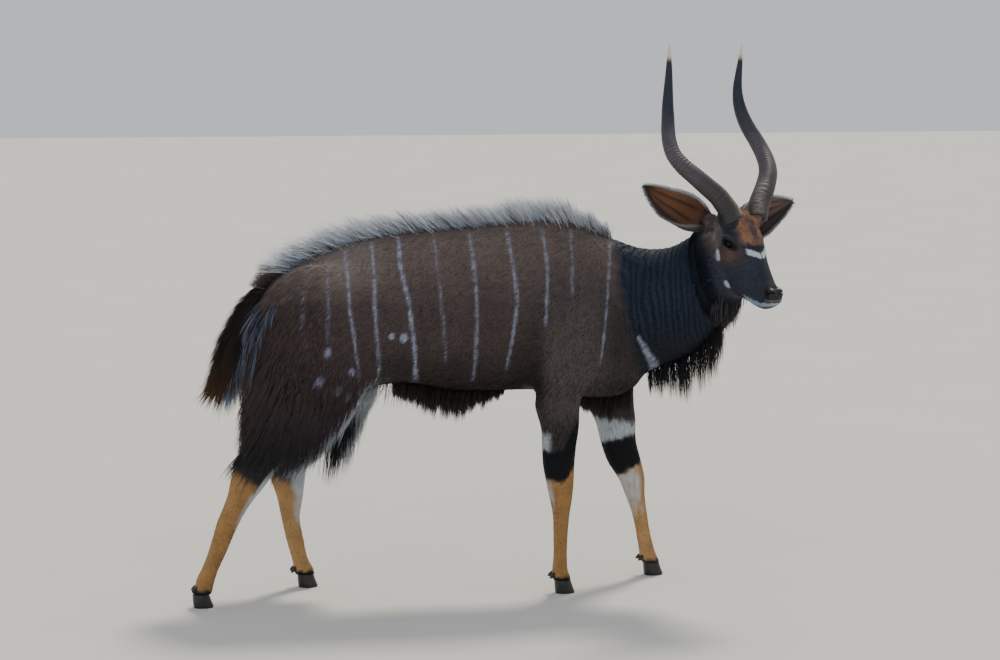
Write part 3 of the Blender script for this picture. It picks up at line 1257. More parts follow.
def along_table(table, at):
    """The columns of a table read at many places along its first one."""
    rows = np.array(table, float)
    return [np.interp(at, rows[:, 0], rows[:, k]) for k in range(1, rows.shape[1])]


def nearest(places, points):
    """For each point, which of the places is nearest."""
    return [int(np.argmin(((places - point) ** 2).sum(axis=1))) for point in points]


def horn_form(side):
    """A keeled horn in an open twist, ringed over its lower half and polished towards the tip."""
    rows = spline([(back, side * half, up, radius) for up, back, half, radius in HORN], HORN_RINGS)
    middles = np.array([in_head(r[0], r[1], r[2]) for r in rows])
    along = unit(np.gradient(middles, axis=0))
    front = HEADING - along[0] * (HEADING @ along[0])
    angle = np.arange(HORN_SIDES) * 2 * math.pi / HORN_SIDES
    from_keel = (angle + math.pi) % (2 * math.pi) - math.pi
    rings, colours = [], []
    for i in range(HORN_RINGS):
        t = i / (HORN_RINGS - 1)
        front = unit(front - along[i] * (front @ along[i]))
        aside = np.cross(along[i], front)
        keel = 0.13 * np.exp(-(from_keel**2) / 0.25) * (1 - 0.6 * t)
        wave = math.sin(2 * math.pi * (t * 74 + 0.9 * math.sin(t * 23) + 0.3 * math.sin(t * 61)))
        ridge = 1 + 0.020 * wave * ramp(0.62, 0.40, t) * (0.6 + 0.4 * np.cos(angle * 2 + 1.0))
        reach = rows[i, 3] * (1 - 0.06 * np.cos(2 * angle) + keel) * ridge
        spin = angle - side * math.radians(150) * t
        outline = middles[i] + np.outer(np.cos(spin) * reach, front) + np.outer(np.sin(spin) * reach, aside)
        rings.append(outline)
        base = "horn_dark"
        for name, start, full in (("mid", 0.05, 0.5), ("top", 0.42, 0.72), ("tip", 0.915, 0.955)):
            base = mix(base, f"horn_{name}", ramp(start, full, t))
        rough = 0.5 + 0.5 * mottle(outline * (1.0, 1.0, 0.5), 0.006, 81)
        worn = np.exp(-((from_keel * side + 0.65) ** 2) / 0.30) * ramp(0.00, 0.02, t) * ramp(0.26, 0.10, t)
        base = mix(base, "horn_worn", worn * (0.4 + 0.6 * rough) * (1.0 if side < 0 else 0.4))
        colours.append(base * (1 + 0.16 * wave * float(ramp(0.66, 0.45, t))))
    form = bmesh.new()
    sweep(form, rings)
    return form, np.array(rings).reshape(-1, 3), np.array(colours).reshape(-1, 3)


def ear_rings(name):
    """Rings of a leaf rolled into a cup, and the ways along it, out of its open side and across it."""
    root, tip, width = EARS[name]
    axis = tip - root
    length = np.linalg.norm(axis)
    axis = axis / length
    face = HEADING * 0.9 + Z * 0.15
    face = unit(face - axis * (face @ axis))
    across = np.cross(axis, face)
    rings = []
    for t in np.linspace(0.0, 1.0, EAR_RINGS):
        spread = width * (math.sin(math.pi * min(1.0, 0.10 + 0.90 * t) ** 0.92) ** 0.8) + 0.0012
        spread = max(spread, 0.019 * (1 - t) ** 2 + 0.0012)
        roll = math.radians(138 - 90 * min(1.0, t * 1.6))
        middle = root + axis * length * t - face * 0.006 * math.sin(math.pi * t)
        radius = spread / max(math.sin(min(roll, math.pi / 2)), 0.5)
        thick = min(0.0022 + 0.0030 * (1 - t), 0.45 * radius)
        outer, inner = [], []
        for a in np.linspace(-roll, roll, EAR_SIDES):
            out = across * math.sin(a) - face * math.cos(a)
            rib = 0.0012 * math.cos(a / roll * math.pi * 3.5) * math.sin(math.pi * t)
            outer.append(middle + face * radius * math.cos(roll) * 0.6 + out * radius)
            inner.append(middle + face * radius * math.cos(roll) * 0.6 + out * (radius - thick - rib))
        rings.append(np.array(outer + inner[::-1]))
    return rings, axis, face, across


def ear_colour(t, across, inside, near):
    """Orange-brown cup, dark below, with dark bands along it, a dark tip and a pale upper rim."""
    cup = TINT["ear_in"] if near else TINT["ear_in"] * 0.35 + TINT["temple"] * 0.65
    colour = np.where(inside[:, None], cup, TINT["ear_out"])
    bands = ramp(0.1, 0.9, np.sin(across * math.pi * 4.2 + 0.6 + t))
    bands = bands * ramp(0.10, 0.30, t) * ramp(0.92, 0.75, t)
    colour = mix(colour, "ear_band", bands * inside * 0.8)
    colour = mix(colour, "ear_low", ramp(0.0, 0.55, -across) * inside * 0.8)
    colour = mix(colour, TINT["pupil"] + 0.012, ramp(0.78, 0.95, t) * (0.85 if near else 0.4))
    colour = mix(colour, "neck", ramp(0.18, 0.05, t) * 0.7)
    rim = np.maximum(ramp(0.86, 0.97, across), 0.3 * ramp(0.90, 0.98, -across)) * ramp(0.05, 0.2, t)
    return mix(colour, "ear_rim", rim * 0.75)


def horn_material():
    # Keratin horn: long growth fibres and a satin polish, so that ridges catch the light.
    made, tree, shader = material("ringed keratin horn", Roughness=0.55, IOR=1.54, Specular_IOR_Level=0.30)
    # Fibres 1.5 mm wide and about 20 mm long, drawn coarser than real ones so that they show.
    fibre = texture(tree, "Noise", 1.5, (1.0, 1.0, 0.08), Detail=2.0).outputs["Fac"]
    blotch = texture(tree, "Noise", 22.0, Detail=2.0).outputs["Fac"]
    both = node(tree, "ShaderNodeMath", {"operation": "ADD"}, i0=fibre, i1=blotch).outputs["Value"]
    vary(tree, shader, both, 0.6, 1.4, 0.70, 1.30)
    roughen(tree, shader, fibre, 0.5, 0.6)
    return made


def hoof_material():
    # Hoof keratin: near black, satin, with growth rings about 3 mm apart and dusty patches.
    made, tree, shader = material("dark hoof keratin", Roughness=0.42, IOR=1.54)
    dust = texture(tree, "Noise", 9.0, Detail=4.0).outputs["Fac"]
    two_tones(tree, shader, dust, (0.40, "#0c0c0f"), (0.72, "#201e1e"))
    rings = texture(tree, "Wave", 3.0 * 20.0, bands_direction="Z", Distortion=1.2, Detail=1.0)
    roughen(tree, shader, rings.outputs["Fac"], 0.4, 0.5)
    return made


def nose_material():
    # Bare nose leather: black, wet, with pebbles about 1.6 mm across.
    film = {"Coat Weight": 0.15, "Coat Roughness": 0.25}
    made, tree, shader = material("wet nose leather", Roughness=0.46, IOR=1.40, **film)
    colour = node(tree, "ShaderNodeAttribute", {"attribute_name": "Coat"})
    tree.links.new(colour.outputs["Color"], shader.inputs["Base Color"])
    roughen(tree, shader, texture(tree, "Voronoi", 1.6).outputs["Distance"], 0.35, 0.5, invert=True)
    return made


def eye_material():
    # Wet eye: a dark brown iris under a clear film, with one sharp highlight.
    film = {"Specular IOR Level": 0.20, "Coat Weight": 0.12, "Coat Roughness": 0.05}
    made, tree, shader = material("wet dark eye", Roughness=0.24, IOR=1.36, **film)
    vary(tree, shader, texture(tree, "Noise", 1.2).outputs["Fac"], 0.0, 1.0, 0.6, 1.4)
    return made


# The add-on


def length_setting(name, description, default, least=0.0):
    """One length in the add-on's panel."""
    return FloatProperty(name=name, description=description, default=default, min=least, unit="LENGTH")


def count_setting(name, description, default, least=500):
    """One number of strands in the add-on's panel."""
    return IntProperty(name=name, description=description, default=default, min=least)


def colour_setting(name, description, tint):
    """One colour in the add-on's panel."""
    start = tuple(TINT[tint])
    return FloatVectorProperty(name=name, description=description, size=3, subtype="COLOR", default=start)


class NyalaSettings(bpy.types.PropertyGroup):
    skin_cell: length_setting("Skin cell", "Cell size the body's skin is built at", 0.006, 0.004)
    face_cell: length_setting("Face cell", "Cell size the head's skin is built at", 0.0024, 0.0015)
    coat_depth: length_setting("Coat depth", "How far the skin lies inside the solids", 0.0065)
    coat_spacing: length_setting("Coat spacing", "Distance between tufts on the trunk", 0.0042, 0.003)
    face_spacing: length_setting("Face spacing", "Distance between tufts on the face", 0.0024, 0.002)
    crest_strands: count_setting("Crest strands", "Strands in the crest", 6400)
    fringe_strands: count_setting("Fringe strands", "Strands under the throat", 3400, 300)
    shag_strands: count_setting("Shag strands", "Strands on each thigh", 6200)
    tail_strands: count_setting("Tail strands", "Strands in the tail", 5200)
    crest_colour: colour_setting("Crest", "Tips of the crest", "crest")
    stripe_colour: colour_setting("Stripes", "Stripes and spots", "stripe")
    tan_colour: colour_setting("Stockings", "Tan of the lower legs", "tan")
    seed: IntProperty(name="Seed", description="Start of every random draw", default=11, min=0)


def settings():
    return bpy.context.scene.nyala


def draws(offset):
    """A random source of its own for each piece."""
    return np.random.default_rng(settings().seed + offset)


class NYALA_OT_body_skin(bpy.types.Operator):
    """Skin of the trunk, neck and legs, with the coat's markings"""

    bl_idname = "nyala.body_skin"
    bl_label = "Body skin"

    def execute(self, context):
        look = settings()
        TINT["crest"], TINT["stripe"] = np.array(look.crest_colour), np.array(look.stripe_colour)
        TINT["tan"] = np.array(look.tan_colour)
        made = body_skin(look.skin_cell * 1000, look.coat_depth * 1000)
        surface = SKINS["body"] = Surface(made.data)
        paint_points(made.data, body_colour(surface.points, surface.normals) * 0.95)
        # Short sleek hide: fine streaky grain and a faint sheen on a dull ground.
        dress(made, coat_material("short sleek hide", 0.66, 2.0, 0.16, 0.6, 0.03))
        carry(made, "coat", "torso", "neck", *(f"leg_{name}" for name in LEGS))
        return {"FINISHED"}


class NYALA_OT_head_skin(bpy.types.Operator):
    """Skin of the head, with its lids, nostrils and lips"""

    bl_idname = "nyala.head_skin"
    bl_label = "Head skin"

    def execute(self, context):
        made = head_skin(settings().face_cell * 1000, FACE_DEPTH)
        surface = SKINS["head"] = Surface(made.data)
        paint_points(made.data, head_colour(surface.points, surface.normals))
        # Velvet face hide: very short hair, with a finer grain than the body's.
        dress(made, coat_material("short face hide", 0.66, 1.4, 0.18, 0.5, 0.03), nose_material())
        f, left, u = head_parts(np.array([p.center[:] for p in made.data.polygons]))
        bare = (f > 0.119) & (u > -0.258) & (u < -0.224) & (np.abs(left) < 0.027)
        made.data.polygons.foreach_set("material_index", bare.astype(np.int32))
        carry(made, "face_coat", "head")
        return {"FINISHED"}


class NYALA_OT_coat(bpy.types.Operator):
    """Short coat all over: small tufts that lie flat and break the outline"""

    bl_idname = "nyala.coat"
    bl_label = "Short coat"

    def execute(self, context):
        rng = draws(1)
        # Guard hair: soft streaks, a little glossier than the hide under it.
        guard = coat_material("guard hair", 0.58, 1.6, 0.08, 0)
        body = SKINS["body"]
        z = body.middles[:, 2]
        density = 1 / settings().coat_spacing ** 2 * (1 + 0.35 * ramp(0.55, 0.45, z)) * ramp(0.040, 0.055, z)
        density = density * ~is_cap(body, HEAD_CUT[1]) * (1 + 0.5 * neck_share(body.middles))
        points, outs = body.scatter(density, rng)
        lie, length, width = body_lie(points, outs)
        leg = (leg_colour(points, outs, *leg_places(points)[:2])[1] > 0.5) & (np.abs(points[:, 1]) > 0.02)
        neck = (neck_share(points) > 0.5) & ~leg
        spread = np.where(leg | neck, 0.09, 0.18)[:, None]
        shade = np.clip(1 + rng.normal(size=(len(points), 1)) * spread, 0.5, 1.6)
        colour = body_colour(points, outs) * shade
        tips = body_colour(points + lie * length[:, None], outs) * shade
        kinds = (("trunk", ~leg & ~neck, "coat"), ("neck", neck, "neck_coat"), ("legs", leg, "leg_coat"))
        for name, mine, slot in kinds:
            count = int(mine.sum())
            hair = Hair(
                points[mine], outs[mine], lie[mine],
                length[mine] * rng.uniform(0.8, 1.15, count), width[mine] * rng.uniform(0.8, 1.2, count),
                TUFT_LIFT * rng.uniform(0.5, 1.5, count), 0.0,
                colour[mine] * 0.94, np.clip(tips[mine] * 1.12, 0, 1), seats_of(points[mine], name),
            )
            hair_pieces(f"coat_{name}", hair, guard, slot, 0.0005)
        head = SKINS["head"]
        density = ramp(0.128, 0.116, head_parts(head.middles)[0])
        for side in (-1, 1):
            density = density * ramp(0.0195, 0.0235, np.linalg.norm(head.middles - eye_axes(side)[0], axis=1))
        density = density * (1 + 2.4 * seam_share(head.middles)) * ~is_cap(head, -HEAD_CUT[1])
        points, outs = head.scatter(density / settings().face_spacing ** 2, rng)
        lie, length = head_lie(points, outs)
        count = len(points)
        shade = 1 + rng.normal(scale=0.12, size=(count, 1))
        colour = head_colour(points, outs) * shade
        tips = head_colour(points + lie * length[:, None], outs) * shade
        hair = Hair(
            points, outs, lie, length * rng.uniform(0.8, 1.15, count), rng.uniform(0.0013, 0.0020, count),
            rng.uniform(0.04, 0.13, count) + 0.10 * seam_share(points), 0.0,
            colour * 0.95, np.clip(tips * 1.10, 0, 1), seats_of(points, "head"),
        )
        hair_pieces("coat_face", hair, guard, "face_coat", 0.0003)
        return {"FINISHED"}


class NYALA_OT_crest(bpy.types.Operator):
    """Silver crest from the withers to the root of the tail"""

    bl_idname = "nyala.crest"
    bl_label = "Crest"

    def execute(self, context):
        rng = draws(2)
        count = settings().crest_strands
        x = rng.uniform(-0.680, 0.330, count)
        starts = columns(x, rng.normal(scale=0.013, size=count), 1.4)
        roots, outs, kept = drop_on(tree_of(SKINS["body"]), starts, (0, 0, -1))
        x, y, count = roots[:, 0], roots[:, 1], len(kept)
        length, lift = along_table(CREST, -x)
        side = rng.random(count) < 0.10
        length = length * rng.uniform(0.60, 1.36, count) * (1 + 0.12 * mottle(roots, 0.03, 71))
        length = length * np.where(side, 0.5, 1.0)
        lift = lift + rng.normal(scale=0.19, size=count) + 0.12 * mottle(roots, 0.025, 72) - 0.35 * side
        lie = columns(-np.cos(lift), y * 14 + rng.normal(scale=0.14, size=count), np.sin(lift))
        length = length * (1 - 0.45 * ramp(-0.60, -0.66, x))
        front = ramp(0.20, 0.32, x) * 0.6
        low, high = mix("crest_root", "crest_dark", front), mix("crest", "crest_root", front)
        chance = 0.05 + 0.95 * ramp(-0.600, -0.645, x) + 0.12 * ramp(0.006, 0.016, np.abs(y))
        dark = (rng.random(count) < chance)[:, None]
        high = np.where(dark, TINT["back"] * rng.uniform(0.6, 1.3, (count, 1)), high)
        low = np.where(dark, TINT["back"] * 0.7, low)
        hair = Hair(
            roots, outs, lie, length, rng.uniform(0.0014, 0.0027, count), 0.0, 0.04,
            grow(low, rng, 0.15), grow(high, rng, 0.06), over_square(x, np.clip(y, -0.02, 0.02)),
            (clump_of(roots * (1, 0.6, 0), 0.015, rng), 0.56), 4,
        )
        # Long silver hair: glossy, almost white, dark between the strands.
        hair_pieces("crest", hair, coat_material("silver crest hair", 0.42, 2.0, 0.08, 0, 0.2), "coat", 0.004)
        return {"FINISHED"}


def hanging(table, count, locks, lean, rng, tree):
    """Roots, ways, lengths, places and locks of strands that hang from the underside along a table."""
    middles = (np.arange(locks) + rng.uniform(0.1, 0.9, locks)) / locks
    reach = rng.uniform(0.66, 1.16, locks)
    lock = rng.integers(0, locks, count)
    t = np.clip(middles[lock] + rng.normal(scale=0.42 / locks, size=count), 0.0, 1.0)
    x, y, z, across, length = along_table(table, t)
    aside = rng.normal(size=count) * 0.55 * 1.6
    roots, _, kept = drop_on(tree, columns(x, y + aside * across, z), (0, 0, 1))
    count, t, aside, lock = len(kept), t[kept], aside[kept], lock[kept]
    back = lean + rng.normal(scale=0.08, size=count)
    lie = columns(back, aside * 0.05 + rng.normal(scale=0.08, size=count), -1.0)
    length = length[kept] * rng.uniform(0.58, 1.10, count) * reach[lock]
    length = length * (1 - 0.25 * np.minimum(1, np.abs(aside) / 2))
    groups = np.unique(lock * 4 + np.digitize(aside, (-0.6, 0.1, 0.8)), return_inverse=True)[1]
    return roots, lie, length, over_square(t, np.clip(aside, -2, 2)), groups


class NYALA_OT_fringes(bpy.types.Operator):
    """Dark fringes that hang from the throat, breast and belly"""

    bl_idname = "nyala.fringes"
    bl_label = "Fringes"

    def execute(self, context):
        rng = draws(3)
        tree = tree_of(SKINS["body"])
        # Long dark hair: soft gloss on a near-black brown.
        dark = coat_material("long dark hair", 0.48, 2.0, 0.12, 0, 0.08)
        whole = settings().fringe_strands
        for name, table, share, locks, tone, lean, width, longer, pull, slot in (
            ("throat_fringe", THROAT, 0.34, 34, "neck_low", 0.05, 0.0013, 1.12, 0.62, "neck_coat"),
            ("belly_fringe", BELLY, 1.4, 70, "belly", -0.15, 0.0018, 1.0, 0.40, "coat"),
            ("breast_fringe", BRISKET, 0.8, 30, "belly", -0.05, 0.0018, 1.0, 0.40, "coat"),
        ):
            roots, lie, length, seats, clumps = hanging(table, int(whole * share), locks, lean, rng, tree)
            colour = np.broadcast_to(TINT[tone], roots.shape)
            hair = Hair(
                roots + Z * 0.006, np.broadcast_to([0.35, 1.0, 0.0], roots.shape), lie,
                length * longer, width * rng.uniform(0.7, 1.3, len(roots)), 0.0, 0.0,
                grow(colour * 0.8, rng, 0.15), grow(colour * 0.9 + TINT["shag_tip"] * 0.25, rng, 0.2),
                seats, (clumps, pull), 3,
            )
            hair_pieces(name, hair, dark, slot, 0.0)
        # The fringe runs on under the jaw, where it grows from the head's own skin.
        head = SKINS["head"]
        f, _, u = head_parts(head.middles)
        density = ramp(-0.215, -0.240, u) * ramp(-0.010, -0.035, f) * ramp(0.2, 0.6, head.facing(-Z))
        points, outs = head.scatter_some(density * ~is_cap(head, -HEAD_CUT[1]), whole, 0.06, rng)
        count = len(points)
        lie = np.array([-0.10, 0.0, -1.0]) + rng.normal(scale=0.07, size=(count, 3))
        hair = Hair(
            points, outs, lie, rng.uniform(0.025, 0.060, count), rng.uniform(0.0012, 0.0022, count),
            0.0, 0.05,
            grow(np.broadcast_to(TINT["charcoal"], points.shape), rng, 0.2),
            grow(np.broadcast_to(TINT["temple"] * 0.4, points.shape), rng, 0.2),
            over_square(points[:, 0], points[:, 1]), (clump_of(points, 0.016, rng), 0.60), 3,
        )
        hair_pieces("jaw_fringe", hair, dark, "face_coat", 0.002)
        return {"FINISHED"}


class NYALA_OT_shag(bpy.types.Operator):
    """Shaggy hair of the thighs, dark outside with white along the front"""

    bl_idname = "nyala.shag"
    bl_label = "Thigh shag"

    def execute(self, context):
        rng = draws(4)
        body = SKINS["body"]
        strands = settings().shag_strands
        # Thigh hair: long, matt and slightly brown at the tips.
        shag = coat_material("thigh shag", 0.52, 2.0, 0.12, 0, 0.08)
        for name, side in (("right", -1), ("left", 1)):
            far = side > 0
            ahead = 0.045 if far else 0.0
            rows = np.array(LEGS[f"hind_{name}"])[::-1]
            x, y, z = (body.middles - X * ahead).T
            front = np.interp(z, rows[:, 1], rows[:, 0]) - ahead
            low = 0.455 + 0.06 * ramp(-0.60, -0.48, x)
            here = (y * side > 0.004) & (x < -0.36) & (z > low - 0.03) & (z < 0.84)
            density = here * ramp(0.84, 0.66, z) * ramp(front + 0.03, front - 0.02, x)
            density = density * ramp(low - 0.03, low, z) * (0.4 + 0.6 * ramp(0.80, 0.55, z))
            points, outs = body.scatter_some(density, strands, 1.0, rng)
            # Where the lining grows, worked out while x, y and z are still the skin's.
            inner = body.facing(-Y * side)
            lining = (y * side > 0.004) * ramp(-0.2, 0.3, inner) * ramp(0.45, 0.50, z) * ramp(0.67, 0.63, z)
            lining = lining * ramp(0.07, 0.03, front - x) * (x > -0.62) * (x < -0.30)
            count = len(points)
            x, y, z = (points - X * ahead).T
            inner = -outs[:, 1] * side
            longer = np.maximum(ramp(0.68, 0.49, z), ramp(0.84, 0.60, z) * ramp(-0.60, -0.70, x))
            length = 0.022 + 0.090 * longer
            length = length * rng.uniform(0.65, 1.12, count) * (1 - 0.25 * ramp(0.1, 0.6, inner))
            back = -0.30 - 0.35 * ramp(-0.60, -0.70, x) + rng.normal(scale=0.13, size=count)
            lie = laid(columns(back, rng.normal(scale=0.06, size=count), -1.0), outs, 0.9)
            colour = mix("shag", "haunch", ramp(0.52, 0.66, z))
            tip = mix(colour * 1.15, "shag_tip", ramp(0.50, 0.56, z) * ramp(0.72, 0.62, z) * 0.7)
            behind = np.interp(z, rows[:, 1], rows[:, 0]) - ahead - x
            edge = 0.022 if far else 0.020 + 0.022 * ramp(0.62, 0.53, z)
            pale = ramp(edge, edge - 0.010, behind) * ramp(0.66, 0.60, z)
            inside = ramp(0.2, 0.6, inner) * ramp(0.15, 0.09, behind) * ramp(0.66, 0.60, z)
            pale = np.maximum(pale, inside * (ramp(0.535, 0.560, z) if far else 0.8))
            white = (rng.random(count) < pale)[:, None]
            colour, tip = np.where(white, TINT["white"] * 0.75, colour), np.where(white, TINT["white"], tip)
            tip = mix(tip, "stripe", white_marks(points + lie * (length * 0.8)[:, None]))
            hair = Hair(
                points, outs, lie, length, rng.uniform(0.0018, 0.0031, count),
                rng.uniform(0.05, 0.20, count) + 0.18 * ramp(-0.62, -0.72, x), 0.12,
                grow(colour, rng, 0.22), grow(tip, rng, 0.22), over_square(leg_places(points)[2], z),
                (clump_of(points, 0.019, rng), 0.42), 3,
            )
            hair_pieces(f"thigh_shag_{name}", hair, shag, "leg_coat", 0.003)
            # Long hair inside the thigh's front edge: white above, black where it hangs lowest.
            points, outs = body.scatter_some(lining, strands, 0.18, rng)
            count, z = len(points), points[:, 2]
            tilt = (-0.14 if far else -0.60) + rng.normal(scale=0.08, size=count)
            lie = columns(tilt, rng.normal(scale=0.05, size=count), -1.0)
            pale = ramp(0.50, 0.54, z)
            if far:
                behind = np.interp(z, rows[:, 1], rows[:, 0]) - points[:, 0]
                pale = np.maximum(ramp(0.54, 0.57, z), ramp(0.030, 0.018, behind))
            white = (rng.random(count) < pale)[:, None]
            hair = Hair(
                points, outs, lie,
                (0.085 + 0.095 * ramp(0.58, 0.49, z)) * rng.uniform(0.6, 1.1, count) * (1.0 if far else 0.7),
                rng.uniform(0.0018, 0.0030, count), 0.0, 0.05,
                grow(np.where(white, TINT["white"] * 0.55, TINT["black"]), rng, 0.15),
                grow(np.where(white, TINT["white"] * 0.85, TINT["shag"]), rng, 0.15),
                over_square(points[:, 0], z), (clump_of(points, 0.018, rng), 0.40), 3,
            )
            hair_pieces(f"thigh_lining_{name}", hair, shag, "leg_coat", 0.003)
        return {"FINISHED"}


class NYALA_OT_tail(bpy.types.Operator):
    """Bushy tail: a thin core under long hair"""

    bl_idname = "nyala.tail"
    bl_label = "Tail"

    def execute(self, context):
        rng = draws(5)
        rows = spline(TAIL, TAIL_RINGS)
        shrink = 0.92 - 0.40 * np.linspace(0, 1, TAIL_RINGS) ** 0.5
        core = bmesh.new()
        pairs = list(zip(rows, shrink))[4:54]
        sweep(core, [ring(r[0:3] + X * r[3] * s, r[0:3] - X * r[3] * s, r[4] * s, Y, 20) for r, s in pairs])
        made = object_of("tail_core", core)
        paint_points(made.data, np.broadcast_to(TINT["tail"] * 0.7, (len(made.data.vertices), 3)))
        # Tail hair: coarse and glossy, dark brown with rusty ends and a pale inner side.
        finish = coat_material("tail hair", 0.48, 2.0, 0.12, 0, 0.08)
        dress(made, finish)
        carry(made, "tail_coat", "tail")
        count = settings().tail_strands
        t = rng.beta(1.15, 1.25, count)
        angle = rng.uniform(-math.pi, math.pi, count)
        at = columns(*(np.interp(t * 53, np.arange(TAIL_RINGS), column) for column in rows.T))
        ways = np.gradient(rows[:, :3], axis=0).T
        slope = unit(columns(*(np.interp(t * 53, np.arange(TAIL_RINGS), column) for column in ways)))
        front = unit(np.cross(Y, slope))
        out = front * np.cos(angle)[:, None] + Y * np.sin(angle)[:, None]
        size = (0.92 - 0.40 * np.sqrt(np.clip(t * 53 / 59, 0, 1)))[:, None]
        roots = at[:, :3] + front * (np.cos(angle) * at[:, 3])[:, None] * size
        roots = roots + Y * (np.sin(angle) * at[:, 4])[:, None] * size
        forward = ramp(0.0, 0.8, -np.cos(angle))
        lie = slope + out * (0.26 + 0.16 * forward + rng.normal(scale=0.09, size=count))[:, None]
        lie = lie + rng.normal(scale=0.08, size=(count, 3))
        length = np.interp(t, (0, 0.15, 0.5, 1.0), (0.045, 0.085, 0.125, 0.115))
        length = length * rng.uniform(0.6, 1.08, count)
        rust = ramp(0.45, 0.95, t)[:, None] * np.clip(rng.random((count, 1)) * 1.4, 0, 1)
        low = TINT["tail"] + (TINT["tail_rust"] - TINT["tail"]) * rust * 0.3
        high = TINT["tail"] * 1.3 + (TINT["tail_rust"] - TINT["tail"]) * rust
        pale = (rng.random(count) < ramp(0.15, 0.75, -np.cos(angle)) * 0.9 * ramp(0.06, 0.20, t))[:, None]
        low, high = np.where(pale, TINT["tail_white"] * 0.6, low), np.where(pale, TINT["tail_white"], high)
        hair = Hair(
            roots, out, lie, length, rng.uniform(0.0022, 0.0036, count), 0.0, 0.05,
            grow(low, rng, 0.15), grow(high, rng, 0.15), over_square(angle, t),
            (clump_of(roots, 0.016, rng), 0.40), 3,
        )
        hair_pieces("tail_hair", hair, finish, "tail_coat", 0.003)
        # Pale hair of the buttocks, which the tail's own pale side runs into.
        body = SKINS["body"]
        x, y, z = body.middles.T
        density = ramp(-0.58, -0.64, x) * ramp(0.62, 0.70, z) * ramp(0.88, 0.78, z) * (np.abs(y) < 0.13)
        points, outs = body.scatter_some(density, count, 0.55, rng)
        count = len(points)
        lie = laid(unit(np.array([-0.12, 0.0, -1.0]) + rng.normal(scale=0.10, size=(count, 3))), outs, 0.95)
        pale = (rng.random(count) < 0.44)[:, None]
        hair = Hair(
            points, outs, lie, rng.uniform(0.050, 0.105, count), rng.uniform(0.0020, 0.0031, count),
            rng.uniform(0.08, 0.34, count), 0.10,
            grow(np.where(pale, TINT["tail_white"] * 0.30, TINT["shag"]), rng, 0.15),
            grow(np.where(pale, TINT["tail_white"] * 0.75, TINT["haunch"] * 0.7), rng, 0.2),
            over_square(points[:, 1], points[:, 2]), (clump_of(points, 0.018, rng), 0.40), 3,
        )
        hair_pieces("buttock_hair", hair, finish, "coat", 0.002)
        return {"FINISHED"}


class NYALA_OT_ears(bpy.types.Operator):
    """Wide cupped ears with banded insides and a pale fringe"""

    bl_idname = "nyala.ears"
    bl_label = "Ears"

    def execute(self, context):
        rng = draws(6)
        # Ear leather under very short hair, with fine veins of darker fur along it.
        leather = coat_material("ear leather", 0.62, 1.2, 0.20, 0.4, 0.10)
        fluff = coat_material("ear fringe hair", 0.5, 1.5, 0.10, 0, 0.15)
        # How far along and across the ear each point of its rings lies, and which ones are in the cup.
        t = np.repeat(np.linspace(0, 1, EAR_RINGS), 2 * EAR_SIDES)
        arc = np.concatenate([np.linspace(-1, 1, EAR_SIDES), np.linspace(1, -1, EAR_SIDES)])
        arc = np.tile(arc, EAR_RINGS)
        inside = np.tile(np.arange(2 * EAR_SIDES) >= EAR_SIDES, EAR_RINGS)
        for name in EARS:
            rings, axis, face, across = ear_rings(name)
            form = bmesh.new()
            sweep(form, rings)
            made = object_of(name, form)
            places = np.array(rings).reshape(-1, 3)
            near = name == "ear_right"
            tints = ear_colour(t, arc if near else -arc, inside, near)
            paint_points(made.data, tints[nearest(places, points_of(made.data))])
            dress(made, leather)
            carry(made, "ear_coat", name)
            chance = np.where(np.abs(arc) > 0.93, 1.0, 0.22) * ((t > 0.06) & (t < 0.985))
            count = EAR_HAIRS
            pick = rng.choice(len(places), count, p=chance / chance.sum())
            edge = np.abs(arc[pick]) > 0.93
            roots = places[pick] + axis * rng.normal(scale=0.0025, size=count)[:, None]
            out = face * np.where(inside[pick], 1.0, -1.0)[:, None]
            lie = axis * 1.0 + np.where(edge, -np.sign(arc[pick]), 0)[:, None] * across * -0.35
            lie = lie + rng.normal(scale=0.12, size=(count, 3))
            colour = grow(tints[pick], rng, 0.15)
            length = np.where(edge, 0.011, 0.010) * rng.uniform(0.6, 1.2, count)
            hair = Hair(
                roots, out, lie, length, rng.uniform(0.0010, 0.0018, count), 0.10, 0.0,
                colour * 0.9, np.clip(colour * 1.25, 0, 1),
                over_square(t[pick] + inside[pick] * 1.05, arc[pick]),
            )
            hair_pieces(f"{name}_fringe", hair, fluff, "ear_coat", 0.0008)
        return {"FINISHED"}


class NYALA_OT_eyes(bpy.types.Operator):
    """Dark wet eyes behind the lids"""

    bl_idname = "nyala.eyes"
    bl_label = "Eyes"

    def execute(self, context):
        wet = eye_material()
        for name, side in (("eye_right", -1), ("eye_left", 1)):
            at, along, across, look = eye_axes(side)
            form = bmesh.new()
            ball(form, at, (EYE_RADIUS,) * 3, (along, across, look), 48, 32)
            made = object_of(name, form)
            points = points_of(made.data) - at
            a, b, depth = points @ along, points @ across, points @ look
            off = np.hypot(a, b)
            bulge = 0.0008 * ramp(0.011, 0.004, off) * (depth > 0)
            set_points(made.data, points + at + np.outer(bulge, look))
            colour = mix("eye_edge", "iris", ramp(0.0125, 0.0112, off))
            paint_points(made.data, mix(colour, "pupil", ramp(1.15, 0.95, np.hypot(a / 0.0060, b / 0.0038))))
            dress(made, wet)
            carry(made, "eye", name)
        return {"FINISHED"}


class NYALA_OT_horns(bpy.types.Operator):
    """Open twisted horns with rings, a keel and ivory tips"""

    bl_idname = "nyala.horns"
    bl_label = "Horns"

    def execute(self, context):
        finish = horn_material()
        for name, side in (("horn_right", -1), ("horn_left", 1)):
            form, places, colours = horn_form(side)
            made = object_of(name, form)
            paint_points(made.data, colours[nearest(places, points_of(made.data))])
            dress(made, finish)
            carry(made, "horn", name)
        return {"FINISHED"}


